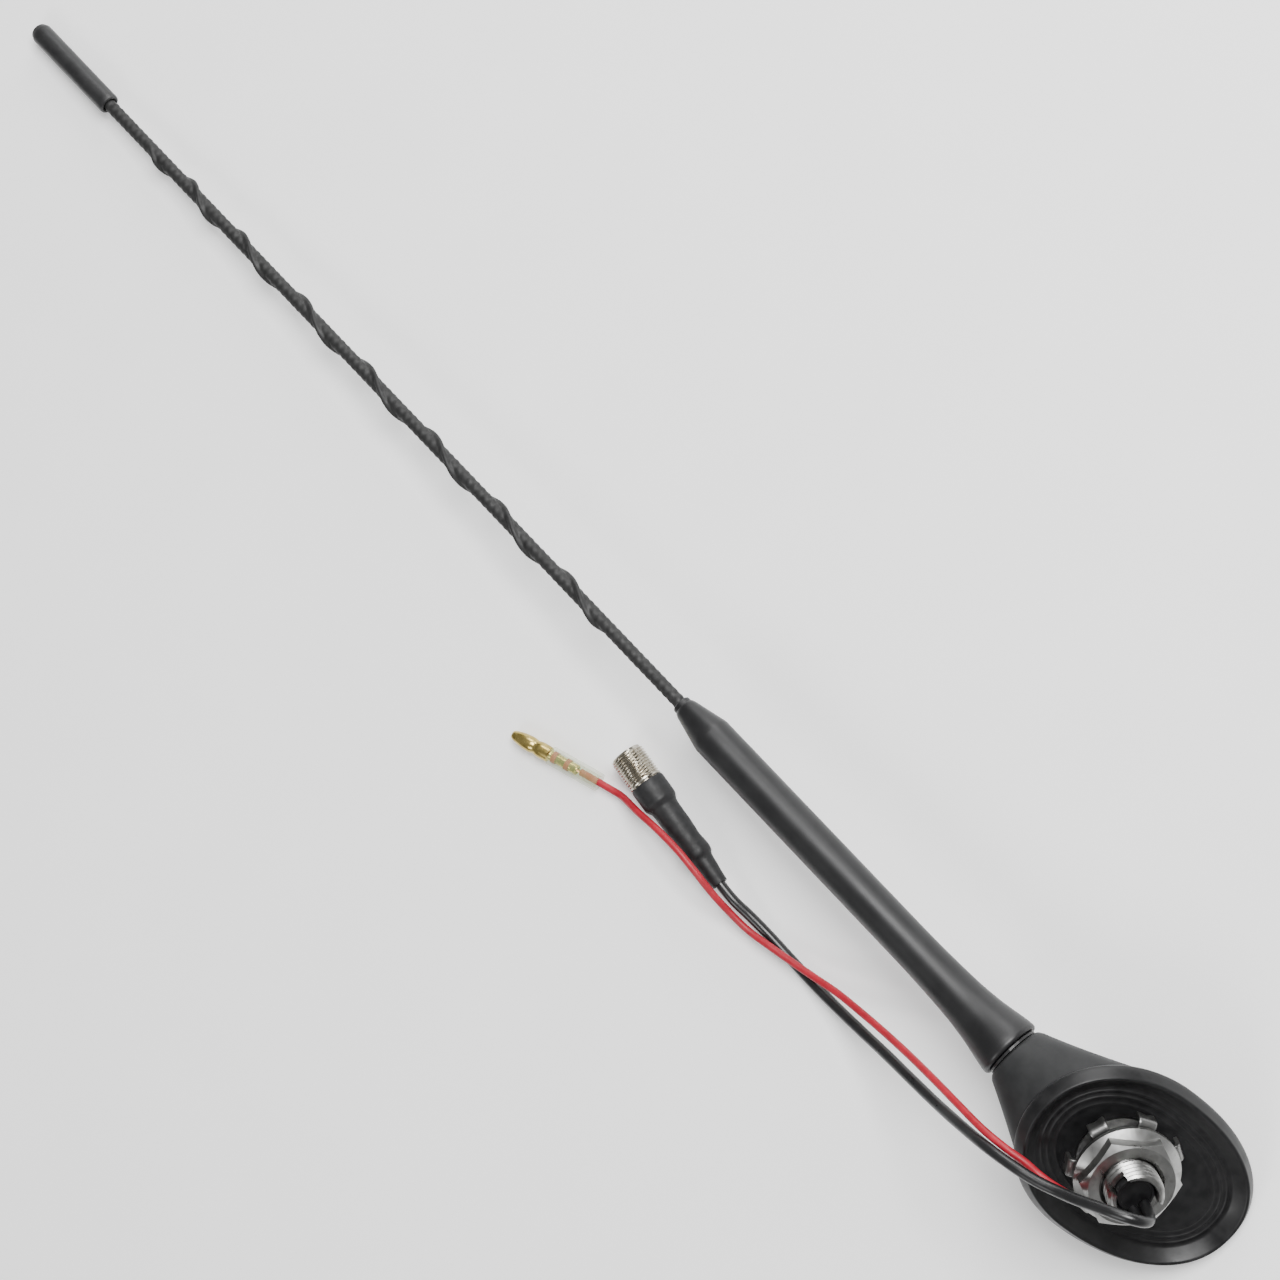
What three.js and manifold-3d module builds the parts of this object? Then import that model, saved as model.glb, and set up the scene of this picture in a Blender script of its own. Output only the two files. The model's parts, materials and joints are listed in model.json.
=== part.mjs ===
// A car-roof whip antenna with an amplified base, lying on a flat surface beside its two leads.
// Millimetres. The base and the mast are built as they stand on a roof, then laid down together:
// the roof frame has its origin where the threaded stud's axis meets the gasket's underside, with
// +Z out of the roof and +X towards the front of the base. The leads are placed where they lie.
import * as THREE from "three";
import { mergeVertices } from "three/addons/utils/BufferGeometryUtils.js";
import Module from "manifold-3d";

const wasm = await Module();
wasm.setup();

// ---- Driving dimensions ----
const GAP = 0.3; // air between pieces that touch
const SLIM_GAP = 0.15; // air between the thin layers of the whip

// The mast's axis: distances along it are measured from where it meets the gasket's underside.
const MAST_LEAN = THREE.MathUtils.degToRad(52); // from the roof's normal, towards the rear
const MAST_FOOT_X = -4;
const NECK = 33; // top face of the base's neck
const GRIP_FOOT = NECK + 1.2;
const GRIP_LENGTH = 122.8;
const MAST_TIP = GRIP_FOOT + 400;

// The foot of the base: an egg-shaped oval, fuller at the front.
const FOOT = { centre: 2.1, front: 37, rear: 29.6, side: 24, frontPower: 2.2, rearPower: 2.04 };
const FOOT_SIDES = 40;

const SHELL = { foot: 4.6, footInset: 1.1, wall: 2, neckRadius: 8.2, loftSteps: 2 };
const GASKET = { top: 4.3, floor: 2.6, floorInset: 8.9, hole: 10.8 };
const FRAME = { top: 7, underside: 2.9, inset: 0.7, hub: 10.4, boardPost: 1.7 };
const TOWER = { foot: 16.5, top: 27.4, radius: 6.3 };
const BUSH = { foot: 17, top: 30.5, radius: 5.2 };
const MAST_SOCKET = { foot: 19, top: NECK - 0.4, radius: 3.9 };

const STUD = { major: 7, minor: 6.3, pitch: 1.5, bore: 5, headRadius: 9.3, headTop: 8.5, end: -16.4 };
const STUD_SLOT = { width: 4.8, depth: 3.6 };
const GLAND = { radius: 4.7, inner: -8, outer: -14.6 };
const NUT = { acrossFlats: 22, top: -5, end: -10.9, flange: 13.3, bore: 7.3, turn: 0.42 };
const CLAWS = { count: 7, first: 147, ring: 12.5, reach: 14.6, width: 4.6, top: -3.4, sheet: 1.1, tip: -0.5 };

const BOARD = { x0: -2, x1: 12.4, halfWidth: 8, bottom: 8.8, thickness: 1.2 };
const BOARD_SCREW = { x: 10.3, y: 6.2, hole: 1.2, shank: 0.9, head: 1.7 };
const SHELL_SCREW = { x: -9, y: 15, hole: 1.8, shank: 1.5, head: 2.6 };

const ROD = { radius: 1.85, sleeveBore: 1.35, windingBore: 0.85, coreRadius: 0.7 };
const CAP = { length: 34, radius: 3.05, bore: 2.15, depth: 26 };
const BEAD = { radius: 0.85, sunk: 0.75, foot: 150, top: 347.5, change: 306.6, open: 27.8, tight: 22.3 };
const GRIP = { radius: 5.4, footRadius: 8.35, cavity: 3.8, cavityTop: 149, cone: 11.5, collar: 2.6 };
const MAST_STUD = { major: 2.45, minor: 2.05, pitch: 0.8, foot: 22.2, shoulder: 32.2, shank: 3.4, top: 59.5 };
const SPRING = { foot: 60.6, top: 87, radius: 2.85, wire: 0.5, turns: 7 };
const FERRULE = { foot: 88, top: 148.5, radius: 3.4, bore: 1, step: 139.6, mouth: 145.6 };

// The two leads. Each route runs from the rubber plug in the stud to the lead's own end piece.
const COAX_RADIUS = 1.45;
const WIRE_RADIUS = 1.0;
const COAX_ROUTE = [
  [-213.6, 0.4, 36.1], [-215.4, 0.4, 38.7], [-216.9, 0.4, 41.5], [-217.3, 0.6, 44.0], [-216.5, 1.0, 46.2],
  [-214.3, 2.0, 47.8], [-211.0, 3.8, 48.0], [-206.7, 6.3, 46.7], [-202.4, 9.0, 44.9], [-197.5, 11.6, 43.2],
  [-192.2, 13.8, 42.6], [-186.2, 15.5, 41.9], [-179.1, 17.4, 39.9], [-170.3, 20.2, 33.7], [-161.0, 23.0, 26.4],
  [-151.5, 25.2, 20.0], [-142.0, 27.2, 14.0], [-132.5, 29.2, 8.7], [-124.0, 30.6, 5.0], [-115.3, 31.4, 2.6],
  [-106.0, 31.5, 1.6], [-97.5, 31.2, 1.8], [-90.4, 30.9, 3.0], [-84.8, 30.7, 4.5], [-79.3, 30.1, 4.95],
  [-70.4, 28.8, 4.95],
];
const WIRE_ROUTE = [
  [-212.8, 3.1, 36.9], [-214.0, 3.1, 38.5], [-214.9, 3.1, 40.3], [-214.9, 3.1, 42.2], [-213.8, 3.4, 43.8],
  [-211.7, 4.1, 44.7], [-209.2, 5.3, 44.6], [-206.6, 6.8, 43.6], [-203.8, 8.5, 42.4], [-200.9, 10.3, 41.0],
  [-196.2, 12.3, 39.1], [-191.6, 13.4, 38.2], [-187.0, 13.6, 38.9], [-182.2, 14.4, 39.3], [-174.6, 15.7, 37.9],
  [-166.0, 17.0, 33.8], [-156.9, 18.7, 28.0], [-147.4, 20.8, 21.5], [-138.2, 23.0, 15.7], [-129.4, 25.2, 10.8],
  [-121.6, 27.1, 7.4], [-114.2, 29.2, 5.4], [-107.1, 30.9, 4.6], [-99.6, 32.5, 4.2], [-92.7, 33.8, 3.6],
  [-86.4, 33.6, 5.0], [-80.5, 32.7, 7.6], [-72.7, 31.2, 9.9], [-66.5, 30.5, 10.4], [-58.3, 30.8, 9.4],
  [-50.4, 32.1, 6.7], [-43.2, 33.4, 3.0], [-39.6, 34.4, 2.7], [-36.3, 35.3, 2.7], [-30.6, 37.0, 2.7],
];

// The end pieces, measured along their own axes from where the lead enters.
const SOCKET = { rear: 3.8, barrel: 4.75, pitch: 0.8, mouth: 3.3, sleeveEnd: 33, front: 42.8 };
const SOCKET_CORE = { foot: 28.5, bore: 1, contact: 0.7, contactFoot: 26.2, contactSunk: 2 };
const BULLET = { barrel: 1.4, barrelFoot: 6.9, shoulder: 15.9, tip: 27.9 };
const BULLET_COVER = { radius: 2.65, bore: 1.75, length: 15.6 };
const STRANDS = { radius: 0.5, foot: 6.3, end: 12.1 };
// Where the coax enters its socket, and where the red wire enters its bullet, with their headings.
const SOCKET_END = { x: -79.3, y: 30.1, z: 4.95, heading: THREE.MathUtils.degToRad(-8.3) };
const BULLET_END = { x: -36.3, y: 35.3, z: 2.7, heading: THREE.MathUtils.degToRad(16.7) };

// ---- Finishes ----
const finish = (color, roughness, metalness = 0) =>
  new THREE.MeshStandardMaterial({ color, roughness, metalness });
const MATT_GREY = () => finish(0x2c2d2f, 0.75);
const BLACK_RUBBER = () => finish(0x1b1b1b, 0.7);
const BLACK_PLASTIC = () => finish(0x222222, 0.55);
const ZINC = () => finish(0xb4b4ae, 0.32, 0.95);
const DIE_CAST = () => finish(0x8e9093, 0.5, 0.9);
const STEEL = () => finish(0x8b8e92, 0.35, 0.95);
const BRASS = () => finish(0xb08d3f, 0.35, 0.95);
const NICKEL = () => finish(0xa9a59a, 0.3, 0.95);
const COPPER = () => finish(0xb4703c, 0.4, 0.9);
const GREEN_BOARD = () => finish(0x1f5a34, 0.5);
const RED_PVC = () => finish(0xb01624, 0.5);
const MILKY_PVC = () => finish(0xb9c3a6, 0.4);
const WHITE_PLASTIC = () => finish(0xd8d6cc, 0.5);

// ---- Turning geometry into solids and back ----
/** A closed geometry as a solid whose faces point out. */
function solidOf(geometry) {
  const bare = geometry.clone();
  bare.deleteAttribute("normal");
  bare.deleteAttribute("uv");
  const merged = mergeVertices(bare, 1e-4);
  const vertProperties = merged.getAttribute("position").array;
  const triVerts = new Uint32Array(merged.index.array);
  const build = () => new wasm.Manifold(new wasm.Mesh({ numProp: 3, vertProperties, triVerts }));
  const solid = build();
  if (solid.volume() > 0) return solid;
  for (let i = 0; i < triVerts.length; i += 3) {
    [triVerts[i + 1], triVerts[i + 2]] = [triVerts[i + 2], triVerts[i + 1]];
  }
  return build();
}

/** A solid as a geometry that a mesh can hold. */
function geometryOf(solid) {
  const { vertProperties, triVerts, numProp } = solid.getMesh();
  const position = new Float32Array((vertProperties.length / numProp) * 3);
  for (let i = 0; i < position.length / 3; i++) {
    position.set(vertProperties.subarray(i * numProp, i * numProp + 3), i * 3);
  }
  const geometry = new THREE.BufferGeometry();
  geometry.setAttribute("position", new THREE.BufferAttribute(position, 3));
  geometry.setIndex(new THREE.BufferAttribute(new Uint32Array(triVerts), 1));
  geometry.computeVertexNormals();
  return geometry;
}

function addPart(group, name, solid, material) {
  const mesh = new THREE.Mesh(geometryOf(solid), material);
  mesh.name = name;
  group.add(mesh);
  return mesh;
}

// ---- Basic shapes, all along +Z ----
/** A closed outline of [radius, height] points turned about the Z axis. */
function turned(outline, sides = 32) {
  const lathe = new THREE.LatheGeometry(
    outline.map(([radius, height]) => new THREE.Vector2(radius, height)),
    sides,
  );
  return solidOf(lathe.rotateX(Math.PI / 2));
}

const rod = (radius, z0, z1, sides) =>
  turned([[0, z0], [radius, z0], [radius, z1], [0, z1]], sides);

const sleeve = (bore, radius, z0, z1, sides) =>
  turned([[bore, z0], [radius, z0], [radius, z1], [bore, z1], [bore, z0]], sides);

function block(x0, x1, y0, y1, z0, z1) {
  const box = new THREE.BoxGeometry(x1 - x0, y1 - y0, z1 - z0);
  return solidOf(box.translate((x0 + x1) / 2, (y0 + y1) / 2, (z0 + z1) / 2));
}

/** A round bar along a curve. */
function swept(curve, radius, sides, steps) {
  const section = new THREE.Shape();
  for (let i = 0; i < sides; i++) {
    const angle = (2 * Math.PI * i) / sides;
    const corner = [radius * Math.cos(angle), radius * Math.sin(angle)];
    if (i === 0) section.moveTo(...corner);
    else section.lineTo(...corner);
  }
  section.closePath();
  return solidOf(new THREE.ExtrudeGeometry(section, { steps, bevelEnabled: false, extrudePath: curve }));
}

/** The outline of a threaded bar's flank, from z0 up to z1, as separate rings. */
function threadFlank(major, minor, pitch, z0, z1) {
  const rings = Math.floor((z1 - z0) / pitch);
  const flank = [];
  for (let i = 0; i < rings; i++) {
    const z = z0 + i * pitch;
    flank.push([minor, z], [major, z + pitch / 2]);
  }
  flank.push([minor, z0 + rings * pitch]);
  return flank;
}

// Solids made along +Z are carried onto the mast's axis, or to a place on the base.
const mastFrame = new THREE.Matrix4()
  .makeRotationY(-MAST_LEAN)
  .setPosition(MAST_FOOT_X, 0, 0);
const alongMast = (distance) => new THREE.Vector3(0, 0, distance).applyMatrix4(mastFrame);
const onMast = (solid) => solid.transform(mastFrame.toArray());
const movedTo = (solid, x, y) => solid.translate([x, y, 0]);

// ---- The egg-shaped foot ----
/** A point of the foot's outline, at an angle about its centre and drawn in by an inset. */
function footPoint(angle, inset) {
  const cos = Math.cos(angle);
  const sin = Math.sin(angle);
  const ahead = cos > 0;
  const power = 2 / (ahead ? FOOT.frontPower : FOOT.rearPower);
  const reach = (ahead ? FOOT.front : FOOT.rear) - inset;
  const x = FOOT.centre + Math.sign(cos) * reach * Math.abs(cos) ** power;
  const y = Math.sign(sin) * (FOOT.side - inset) * Math.abs(sin) ** power;
  return [x, y];
}

/** A closed outline of [inset, height] points carried round the foot. */
function footRing(outline) {
  const clear = 10; // keeps the lathe's radius above zero at an inset of zero
  const lathe = new THREE.LatheGeometry(
    outline.map(([inset, height]) => new THREE.Vector2(clear + inset, height)),
    FOOT_SIDES,
  );
  const place = lathe.getAttribute("position");
  for (let i = 0; i < place.count; i++) {
    const angle = Math.atan2(place.getZ(i), place.getX(i));
    const inset = Math.hypot(place.getX(i), place.getZ(i)) - clear;
    const [x, y] = footPoint(angle, inset);
    place.setXYZ(i, x, y, place.getY(i));
  }
  return solidOf(lathe);
}

/** A flat plate with the foot's outline. */
function footPlate(inset, z0, z1) {
  const outline = [];
  for (let i = 0; i < FOOT_SIDES; i++) {
    outline.push(new THREE.Vector2(...footPoint((2 * Math.PI * i) / FOOT_SIDES, inset)));
  }
  const plate = new THREE.ExtrudeGeometry(new THREE.Shape(outline), { depth: z1 - z0, bevelEnabled: false });
  return solidOf(plate.translate(0, 0, z0));
}

/** The solid that runs in straight lines from the foot's outline up to a circle on the mast's axis. */
function coneOverFoot(inset, z0, neckRadius, neckHeight) {
  const cone = new THREE.CylinderGeometry(1, 1, 1, FOOT_SIDES, SHELL.loftSteps);
  const place = cone.getAttribute("position");
  for (let i = 0; i < place.count; i++) {
    const angle = Math.atan2(place.getZ(i), place.getX(i));
    const share = Math.min(1, Math.hypot(place.getX(i), place.getZ(i)));
    const rise = place.getY(i) + 0.5;
    const [footX, footY] = footPoint(angle, inset);
    const low = new THREE.Vector3(FOOT.centre, 0, z0).lerp(new THREE.Vector3(footX, footY, z0), share);
    const ring = neckRadius * share;
    const high = new THREE.Vector3(ring * Math.cos(angle), ring * Math.sin(angle), neckHeight);
    const point = low.lerp(high.applyMatrix4(mastFrame), rise);
    place.setXYZ(i, point.x, point.y, point.z);
  }
  return solidOf(cone);
}

// ---- Base ----
const outerCone = () => coneOverFoot(SHELL.footInset, SHELL.foot, SHELL.neckRadius, NECK);
const innerCone = (clearance) =>
  coneOverFoot(
    SHELL.footInset + SHELL.wall + clearance,
    SHELL.foot - 0.01,
    SHELL.neckRadius - SHELL.wall - clearance,
    NECK - 2.4 - clearance,
  );
const bothSides = (build) => [1, -1].map(build);

/** The hollow plastic cone, open below, with a hole in its neck and two screw bosses. */
function baseShell() {
  const neckHole = onMast(rod(BUSH.radius + GAP, TOWER.top, NECK + 1, 24));
  const bosses = bothSides((side) =>
    movedTo(rod(SHELL_SCREW.hole + 1.2, FRAME.top + GAP, 14, 16), SHELL_SCREW.x, side * SHELL_SCREW.y)
      .intersect(outerCone()),
  );
  const holes = bothSides((side) =>
    movedTo(rod(SHELL_SCREW.hole, FRAME.top, 10.2, 12), SHELL_SCREW.x, side * SHELL_SCREW.y),
  );
  let shell = outerCone().subtract(innerCone(0)).subtract(neckHole);
  bosses.forEach((boss) => (shell = shell.add(boss)));
  holes.forEach((hole) => (shell = shell.subtract(hole)));
  return shell;
}

/** The rubber foot: a flared skirt and lip round the rim, two ribs below, and a flat floor. */
function rimGasket() {
  const { top, floor, floorInset, hole } = GASKET;
  const rib = (inset) => [[inset + 0.9, floor], [inset + 0.45, floor - 0.9], [inset, floor]];
  const skirt = footRing([
    [0.3, 0],
    [0, 0.6],
    [1.1, top],
    [floorInset + 0.4, top],
    [floorInset + 0.4, floor],
    ...rib(7.6),
    ...rib(5.4),
    [4.4, floor],
    [1.2, 0],
    [0.3, 0],
  ]);
  return skirt.add(footPlate(floorInset, floor, top)).subtract(rod(hole, floor - 1, top + 1, 40));
}

/** The die-cast plate inside the shell: a hub for the stud, a tower for the mast, posts for the board. */
function baseFrame() {
  const plate = innerCone(FRAME.inset).intersect(block(-40, 40, -30, 30, SHELL.foot, FRAME.top));
  const hub = rod(FRAME.hub, FRAME.underside, FRAME.top - 0.5, 40);
  const tower = onMast(rod(TOWER.radius, TOWER.foot, TOWER.top, 28));
  const rib = block(-27, -15.5, -3, 3, FRAME.top - 1, 12.5).intersect(innerCone(FRAME.inset));
  const posts = bothSides((side) =>
    movedTo(rod(FRAME.boardPost, FRAME.top - 1, BOARD.bottom - GAP, 14), BOARD_SCREW.x, side * BOARD_SCREW.y),
  );
  const postHoles = bothSides((side) =>
    movedTo(rod(BOARD_SCREW.hole, 5.4, 12, 12), BOARD_SCREW.x, side * BOARD_SCREW.y),
  );
  const screwHoles = bothSides((side) => {
    const hole = rod(SHELL_SCREW.hole, 4, 9, 12).add(rod(SHELL_SCREW.head + GAP, 4, 6.1, 18));
    return movedTo(hole, SHELL_SCREW.x, side * SHELL_SCREW.y);
  });
  let frame = plate.add(hub).add(tower).add(rib);
  posts.forEach((post) => (frame = frame.add(post)));
  frame = frame.subtract(onMast(rod(BUSH.radius + GAP, TOWER.foot - 8, TOWER.top + 1, 24)));
  frame = frame.subtract(rod(STUD.major + GAP, 0, 12, 32));
  [...postHoles, ...screwHoles].forEach((hole) => (frame = frame.subtract(hole)));
  return frame;
}

/** The plastic bush that keeps the live mast socket off the frame. */
const neckBush = () => onMast(sleeve(MAST_SOCKET.radius + GAP, BUSH.radius, BUSH.foot, BUSH.top, 24));

/** The brass socket that the mast screws into. */
const mastSocket = () =>
  onMast(turned([
    [0, MAST_SOCKET.foot],
    [MAST_SOCKET.radius, MAST_SOCKET.foot],
    [MAST_SOCKET.radius, MAST_SOCKET.top],
    [MAST_STUD.major + 0.55, MAST_SOCKET.top],
    [MAST_STUD.major + GAP, MAST_SOCKET.top - 0.6],
    [MAST_STUD.major + GAP, MAST_SOCKET.foot + 2.4],
    [0, MAST_SOCKET.foot + 2.4],
  ], 24));

/** The hollow threaded stud, with a head inside the base and a slot across its lower end. */
function hollowStud() {
  const { major, minor, pitch, bore, headRadius, headTop, end } = STUD;
  const neck = FRAME.top + GAP;
  const bar = turned([
    [bore, end],
    [minor - 0.3, end],
    ...threadFlank(major, minor, pitch, end + 0.4, NUT.top),
    [major, -1.6],
    [major, neck],
    [headRadius, neck],
    [headRadius, headTop],
    [bore, headTop],
    [bore, end],
  ], 24);
  const halfSlot = STUD_SLOT.width / 2;
  return bar.subtract(block(-10, 10, -halfSlot, halfSlot, end - 1, end + STUD_SLOT.depth));
}

/** The rubber plug that closes the stud round the two leads. */
function cableGland() {
  const { radius, inner, outer } = GLAND;
  return turned([
    [0, outer],
    [radius - 0.5, outer],
    [radius, outer + 0.5],
    [radius, inner],
    [0, inner],
  ], 24);
}

/** The hexagon nut with its round flange and chamfered corners. */
function flangeNut() {
  const { acrossFlats, top, end, flange, bore, turn } = NUT;
  const corner = acrossFlats / Math.sqrt(3);
  const hexagon = new THREE.CylinderGeometry(corner, corner, top - end, 6)
    .rotateX(Math.PI / 2)
    .rotateZ(turn + Math.PI / 2)
    .translate(0, 0, (top + end) / 2);
  const chamfer = turned([
    [0, end],
    [acrossFlats / 2 + 0.2, end],
    [corner + 0.1, end + 1],
    [corner + 0.1, top],
    [0, top],
  ], 48);
  const collar = turned([
    [0, top - 2.8],
    [acrossFlats / 2, top - 2.8],
    [flange, top - 1.4],
    [flange, top],
    [0, top],
  ], 48);
  const hole = turned([
    [0, end - 1],
    [bore + 0.7, end - 1],
    [bore + 0.7, end],
    [bore, end + 0.7],
    [bore, top + 1],
    [0, top + 1],
  ], 36);
  return solidOf(hexagon).intersect(chamfer).add(collar).subtract(hole);
}

/** The spring-steel washer whose bent-up claws bite the roof's underside. */
function clawWasher() {
  const { count, first, ring, reach, width, top, sheet, tip } = CLAWS;
  let washer = sleeve(NUT.bore, ring, top - sheet, top, 42);
  for (let i = 0; i < count; i++) {
    const arm = block(ring - 1.5, reach, -width / 2, width / 2, top - sheet, top);
    const claw = block(reach - sheet, reach, -width / 2, width / 2, top - sheet, tip);
    const notch = new THREE.CylinderGeometry(1.1, 1.1, 6, 4)
      .rotateZ(Math.PI / 2)
      .translate(reach, 0, tip + 0.35);
    const bent = arm.add(claw).subtract(solidOf(notch));
    washer = washer.add(bent.rotate([0, 0, first + (i * 360) / count]));
  }
  return washer;
}

// ---- Electronics inside the base ----
function amplifierBoard() {
  const { x0, x1, halfWidth, bottom, thickness } = BOARD;
  let board = block(x0, x1, -halfWidth, halfWidth, bottom, bottom + thickness);
  bothSides((side) => {
    const hole = rod(BOARD_SCREW.hole, bottom - 1, bottom + 3, 12);
    board = board.subtract(movedTo(hole, BOARD_SCREW.x, side * BOARD_SCREW.y));
  });
  return board;
}

const boardTop = BOARD.bottom + BOARD.thickness + GAP;
const amplifierChip = () => block(2.2, 6.4, -2.1, 2.1, boardTop, boardTop + 1.1);
const shieldCan = () => block(-1.4, 1.4, -5.8, 5.8, boardTop, boardTop + 2.4);

/** A drum-core choke. */
function chokeCoil() {
  const z = boardTop;
  const outline = [
    [0, z],
    [1.9, z],
    [1.9, z + 0.5],
    [1.4, z + 0.5],
    [1.4, z + 1.4],
    [1.9, z + 1.4],
    [1.9, z + 1.9],
    [0, z + 1.9],
  ];
  return movedTo(turned(outline, 16), 4.3, 4.9);
}

const filterCapacitor = () => movedTo(rod(1.6, boardTop, boardTop + 2, 16), 4.3, -4.9);

/** The short lead from the mast's socket down to the board. */
function feedLead() {
  const start = alongMast(MAST_SOCKET.foot - GAP);
  const run = new THREE.CatmullRomCurve3([
    start,
    alongMast(MAST_SOCKET.foot - 3),
    new THREE.Vector3(-7.2, 0, 12.6),
    new THREE.Vector3(-4.2, 0, 11.6),
    new THREE.Vector3(BOARD.x0 - 2 * GAP, 0, BOARD.bottom + 0.6),
  ]);
  return swept(run, 0.5, 8, 14);
}

/** A lead's end inside the base, from the rubber plug up to the board. */
const leadTail = (radius, x, y) => movedTo(rod(radius, GLAND.inner + GAP, BOARD.bottom - GAP, 10), x, y);

/** A pan-headed screw along Z, its head at the given height. */
const screw = (shank, head, headFrom, headTo, tip) =>
  rod(head, Math.min(headFrom, headTo), Math.max(headFrom, headTo), 18)
    .add(rod(shank, Math.min(tip, headTo), Math.max(tip, headTo), 12));

// ---- Mast ----
/** The moulded handle: slim, flared at its foot, with a cone and a collar at its top. */
function grip() {
  const { radius, footRadius, cavity, cavityTop, cone, collar } = GRIP;
  const top = GRIP_FOOT + GRIP_LENGTH;
  const flare = new THREE.SplineCurve([
    new THREE.Vector2(footRadius, GRIP_FOOT + 1),
    new THREE.Vector2(7.85, GRIP_FOOT + 4.4),
    new THREE.Vector2(6.85, GRIP_FOOT + 9.8),
    new THREE.Vector2(6.1, GRIP_FOOT + 16),
    new THREE.Vector2(5.6, GRIP_FOOT + 26),
    new THREE.Vector2(radius, GRIP_FOOT + 36),
  ]);
  return onMast(turned([
    [cavity, GRIP_FOOT],
    [footRadius - 0.6, GRIP_FOOT],
    ...flare.getPoints(6).map((point) => [point.x, point.y]),
    [radius, top - cone],
    [collar + 0.2, top - 1.5],
    [collar, top - 1.3],
    [collar - 0.2, top],
    [CAP.bore, top],
    [CAP.bore, cavityTop],
    [cavity, cavityTop],
    [cavity, GRIP_FOOT],
  ], 24));
}

/** The angle of the spiral bead at a distance along the mast: coarse below, tighter near the tip. */
function beadAngle(distance) {
  const pitch = distance > BEAD.change ? BEAD.tight : BEAD.open;
  return -Math.PI / 2 + (2 * Math.PI * (distance - BEAD.change)) / pitch;
}

class Spiral extends THREE.Curve {
  constructor(foot, top, radiusAt, angleAt) {
    super();
    Object.assign(this, { foot, top, radiusAt, angleAt });
  }
  getPoint(share) {
    const height = this.foot + (this.top - this.foot) * share;
    const radius = this.radiusAt(share);
    const angle = this.angleAt(height);
    return new THREE.Vector3(radius * Math.cos(angle), radius * Math.sin(angle), height);
  }
}

/** The whip's outer sleeve with its spiral bead, moulded as one. */
function whipSleeve() {
  const foot = FERRULE.mouth + GAP;
  const top = MAST_TIP - CAP.length + CAP.depth - GAP;
  const tube = sleeve(ROD.sleeveBore, ROD.radius, foot, top, 12);
  const sinkAtEnds = (share) => Math.min(1, 40 * share, 40 * (1 - share));
  const radiusAt = (share) => ROD.radius - BEAD.radius + BEAD.sunk * sinkAtEnds(share) + 0.1;
  const foot0 = BEAD.foot + GRIP_FOOT;
  const top0 = BEAD.top + GRIP_FOOT;
  const bead = swept(new Spiral(foot0, top0, radiusAt, (h) => beadAngle(h - GRIP_FOOT)), BEAD.radius, 4, 72);
  return onMast(tube.add(bead.subtract(rod(ROD.radius - 0.2, foot, top, 12))));
}

const whipWinding = () =>
  onMast(sleeve(ROD.windingBore, ROD.sleeveBore - SLIM_GAP, FERRULE.mouth + 1, MAST_TIP - 9, 12));
const whipCore = () => onMast(rod(ROD.coreRadius, FERRULE.step + GAP, MAST_TIP - 9, 10));

function tipCap() {
  const { length, radius, bore, depth } = CAP;
  const foot = MAST_TIP - length;
  return onMast(turned([
    [0, foot + depth],
    [bore, foot + depth],
    [bore, foot],
    [radius - 0.45, foot],
    [radius, foot + 0.7],
    [radius, MAST_TIP - 2],
    [radius - 0.5, MAST_TIP - 0.8],
    [radius - 1.4, MAST_TIP],
    [0, MAST_TIP],
  ], 24));
}

/** The threaded steel stem that screws the mast into the base. */
function mastStem() {
  const { major, minor, pitch, foot, shoulder, shank, top } = MAST_STUD;
  return onMast(turned([
    [0, foot],
    [minor - 0.3, foot],
    ...threadFlank(major, minor, pitch, foot + 0.3, shoulder - 0.4),
    [minor, GRIP_FOOT + 0.6],
    [shank, GRIP_FOOT + 0.6],
    [shank, top],
    [0, top],
  ], 12));
}

function flexSpring() {
  const { foot, top, radius, wire, turns } = SPRING;
  const angleAt = (height) => (2 * Math.PI * turns * (height - foot)) / (top - foot);
  return onMast(swept(new Spiral(foot, top, () => radius, angleAt), wire, 4, turns * 9));
}

/** The crimped ferrule that holds the whip's core. */
function gripFerrule() {
  const { foot, top, radius, bore, step, mouth } = FERRULE;
  return onMast(turned([
    [0, foot],
    [radius, foot],
    [radius, top],
    [CAP.bore, top],
    [CAP.bore, mouth],
    [bore, mouth],
    [bore, step],
    [0, step],
  ], 20));
}

const mastSeal = () => onMast(sleeve(MAST_STUD.major + GAP, 7.2, NECK + GAP, GRIP_FOOT - GAP, 28));

// ---- Leads and their end pieces ----
function lead(route, radius, steps) {
  const points = route.map((place) => new THREE.Vector3(...place));
  return swept(new THREE.CatmullRomCurve3(points), radius, 8, steps);
}

/** A group whose +Z runs level along a heading, for the pieces turned on that axis. */
function axisGroup({ x, y, z, heading }) {
  const group = new THREE.Group();
  group.position.set(x, y, z);
  group.rotation.set(0, Math.PI / 2, heading, "ZYX");
  return group;
}

/** The shrunk sleeve over the coax's crimp and the socket's rear. */
const socketSleeve = () =>
  turned([
    [COAX_RADIUS + GAP, 0],
    [2.25, 0],
    [2.45, 2.5],
    [3, 7.9],
    [3.75, 9.2],
    [3.85, 10.5],
    [3.45, 14],
    [3.75, 18],
    [3.85, 25],
    [4.85, 26.9],
    [4.85, SOCKET.sleeveEnd],
    [SOCKET.rear + GAP, SOCKET.sleeveEnd],
    [SOCKET.rear + GAP, 25.9],
    [2.9, 25.9],
    [2.9, 8.7],
    [COAX_RADIUS + GAP, 8.2],
    [COAX_RADIUS + GAP, 0],
  ], 20);

const crimpFerrule = () => sleeve(1.2, 2.6, 9.3, 25.6, 16);

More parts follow.
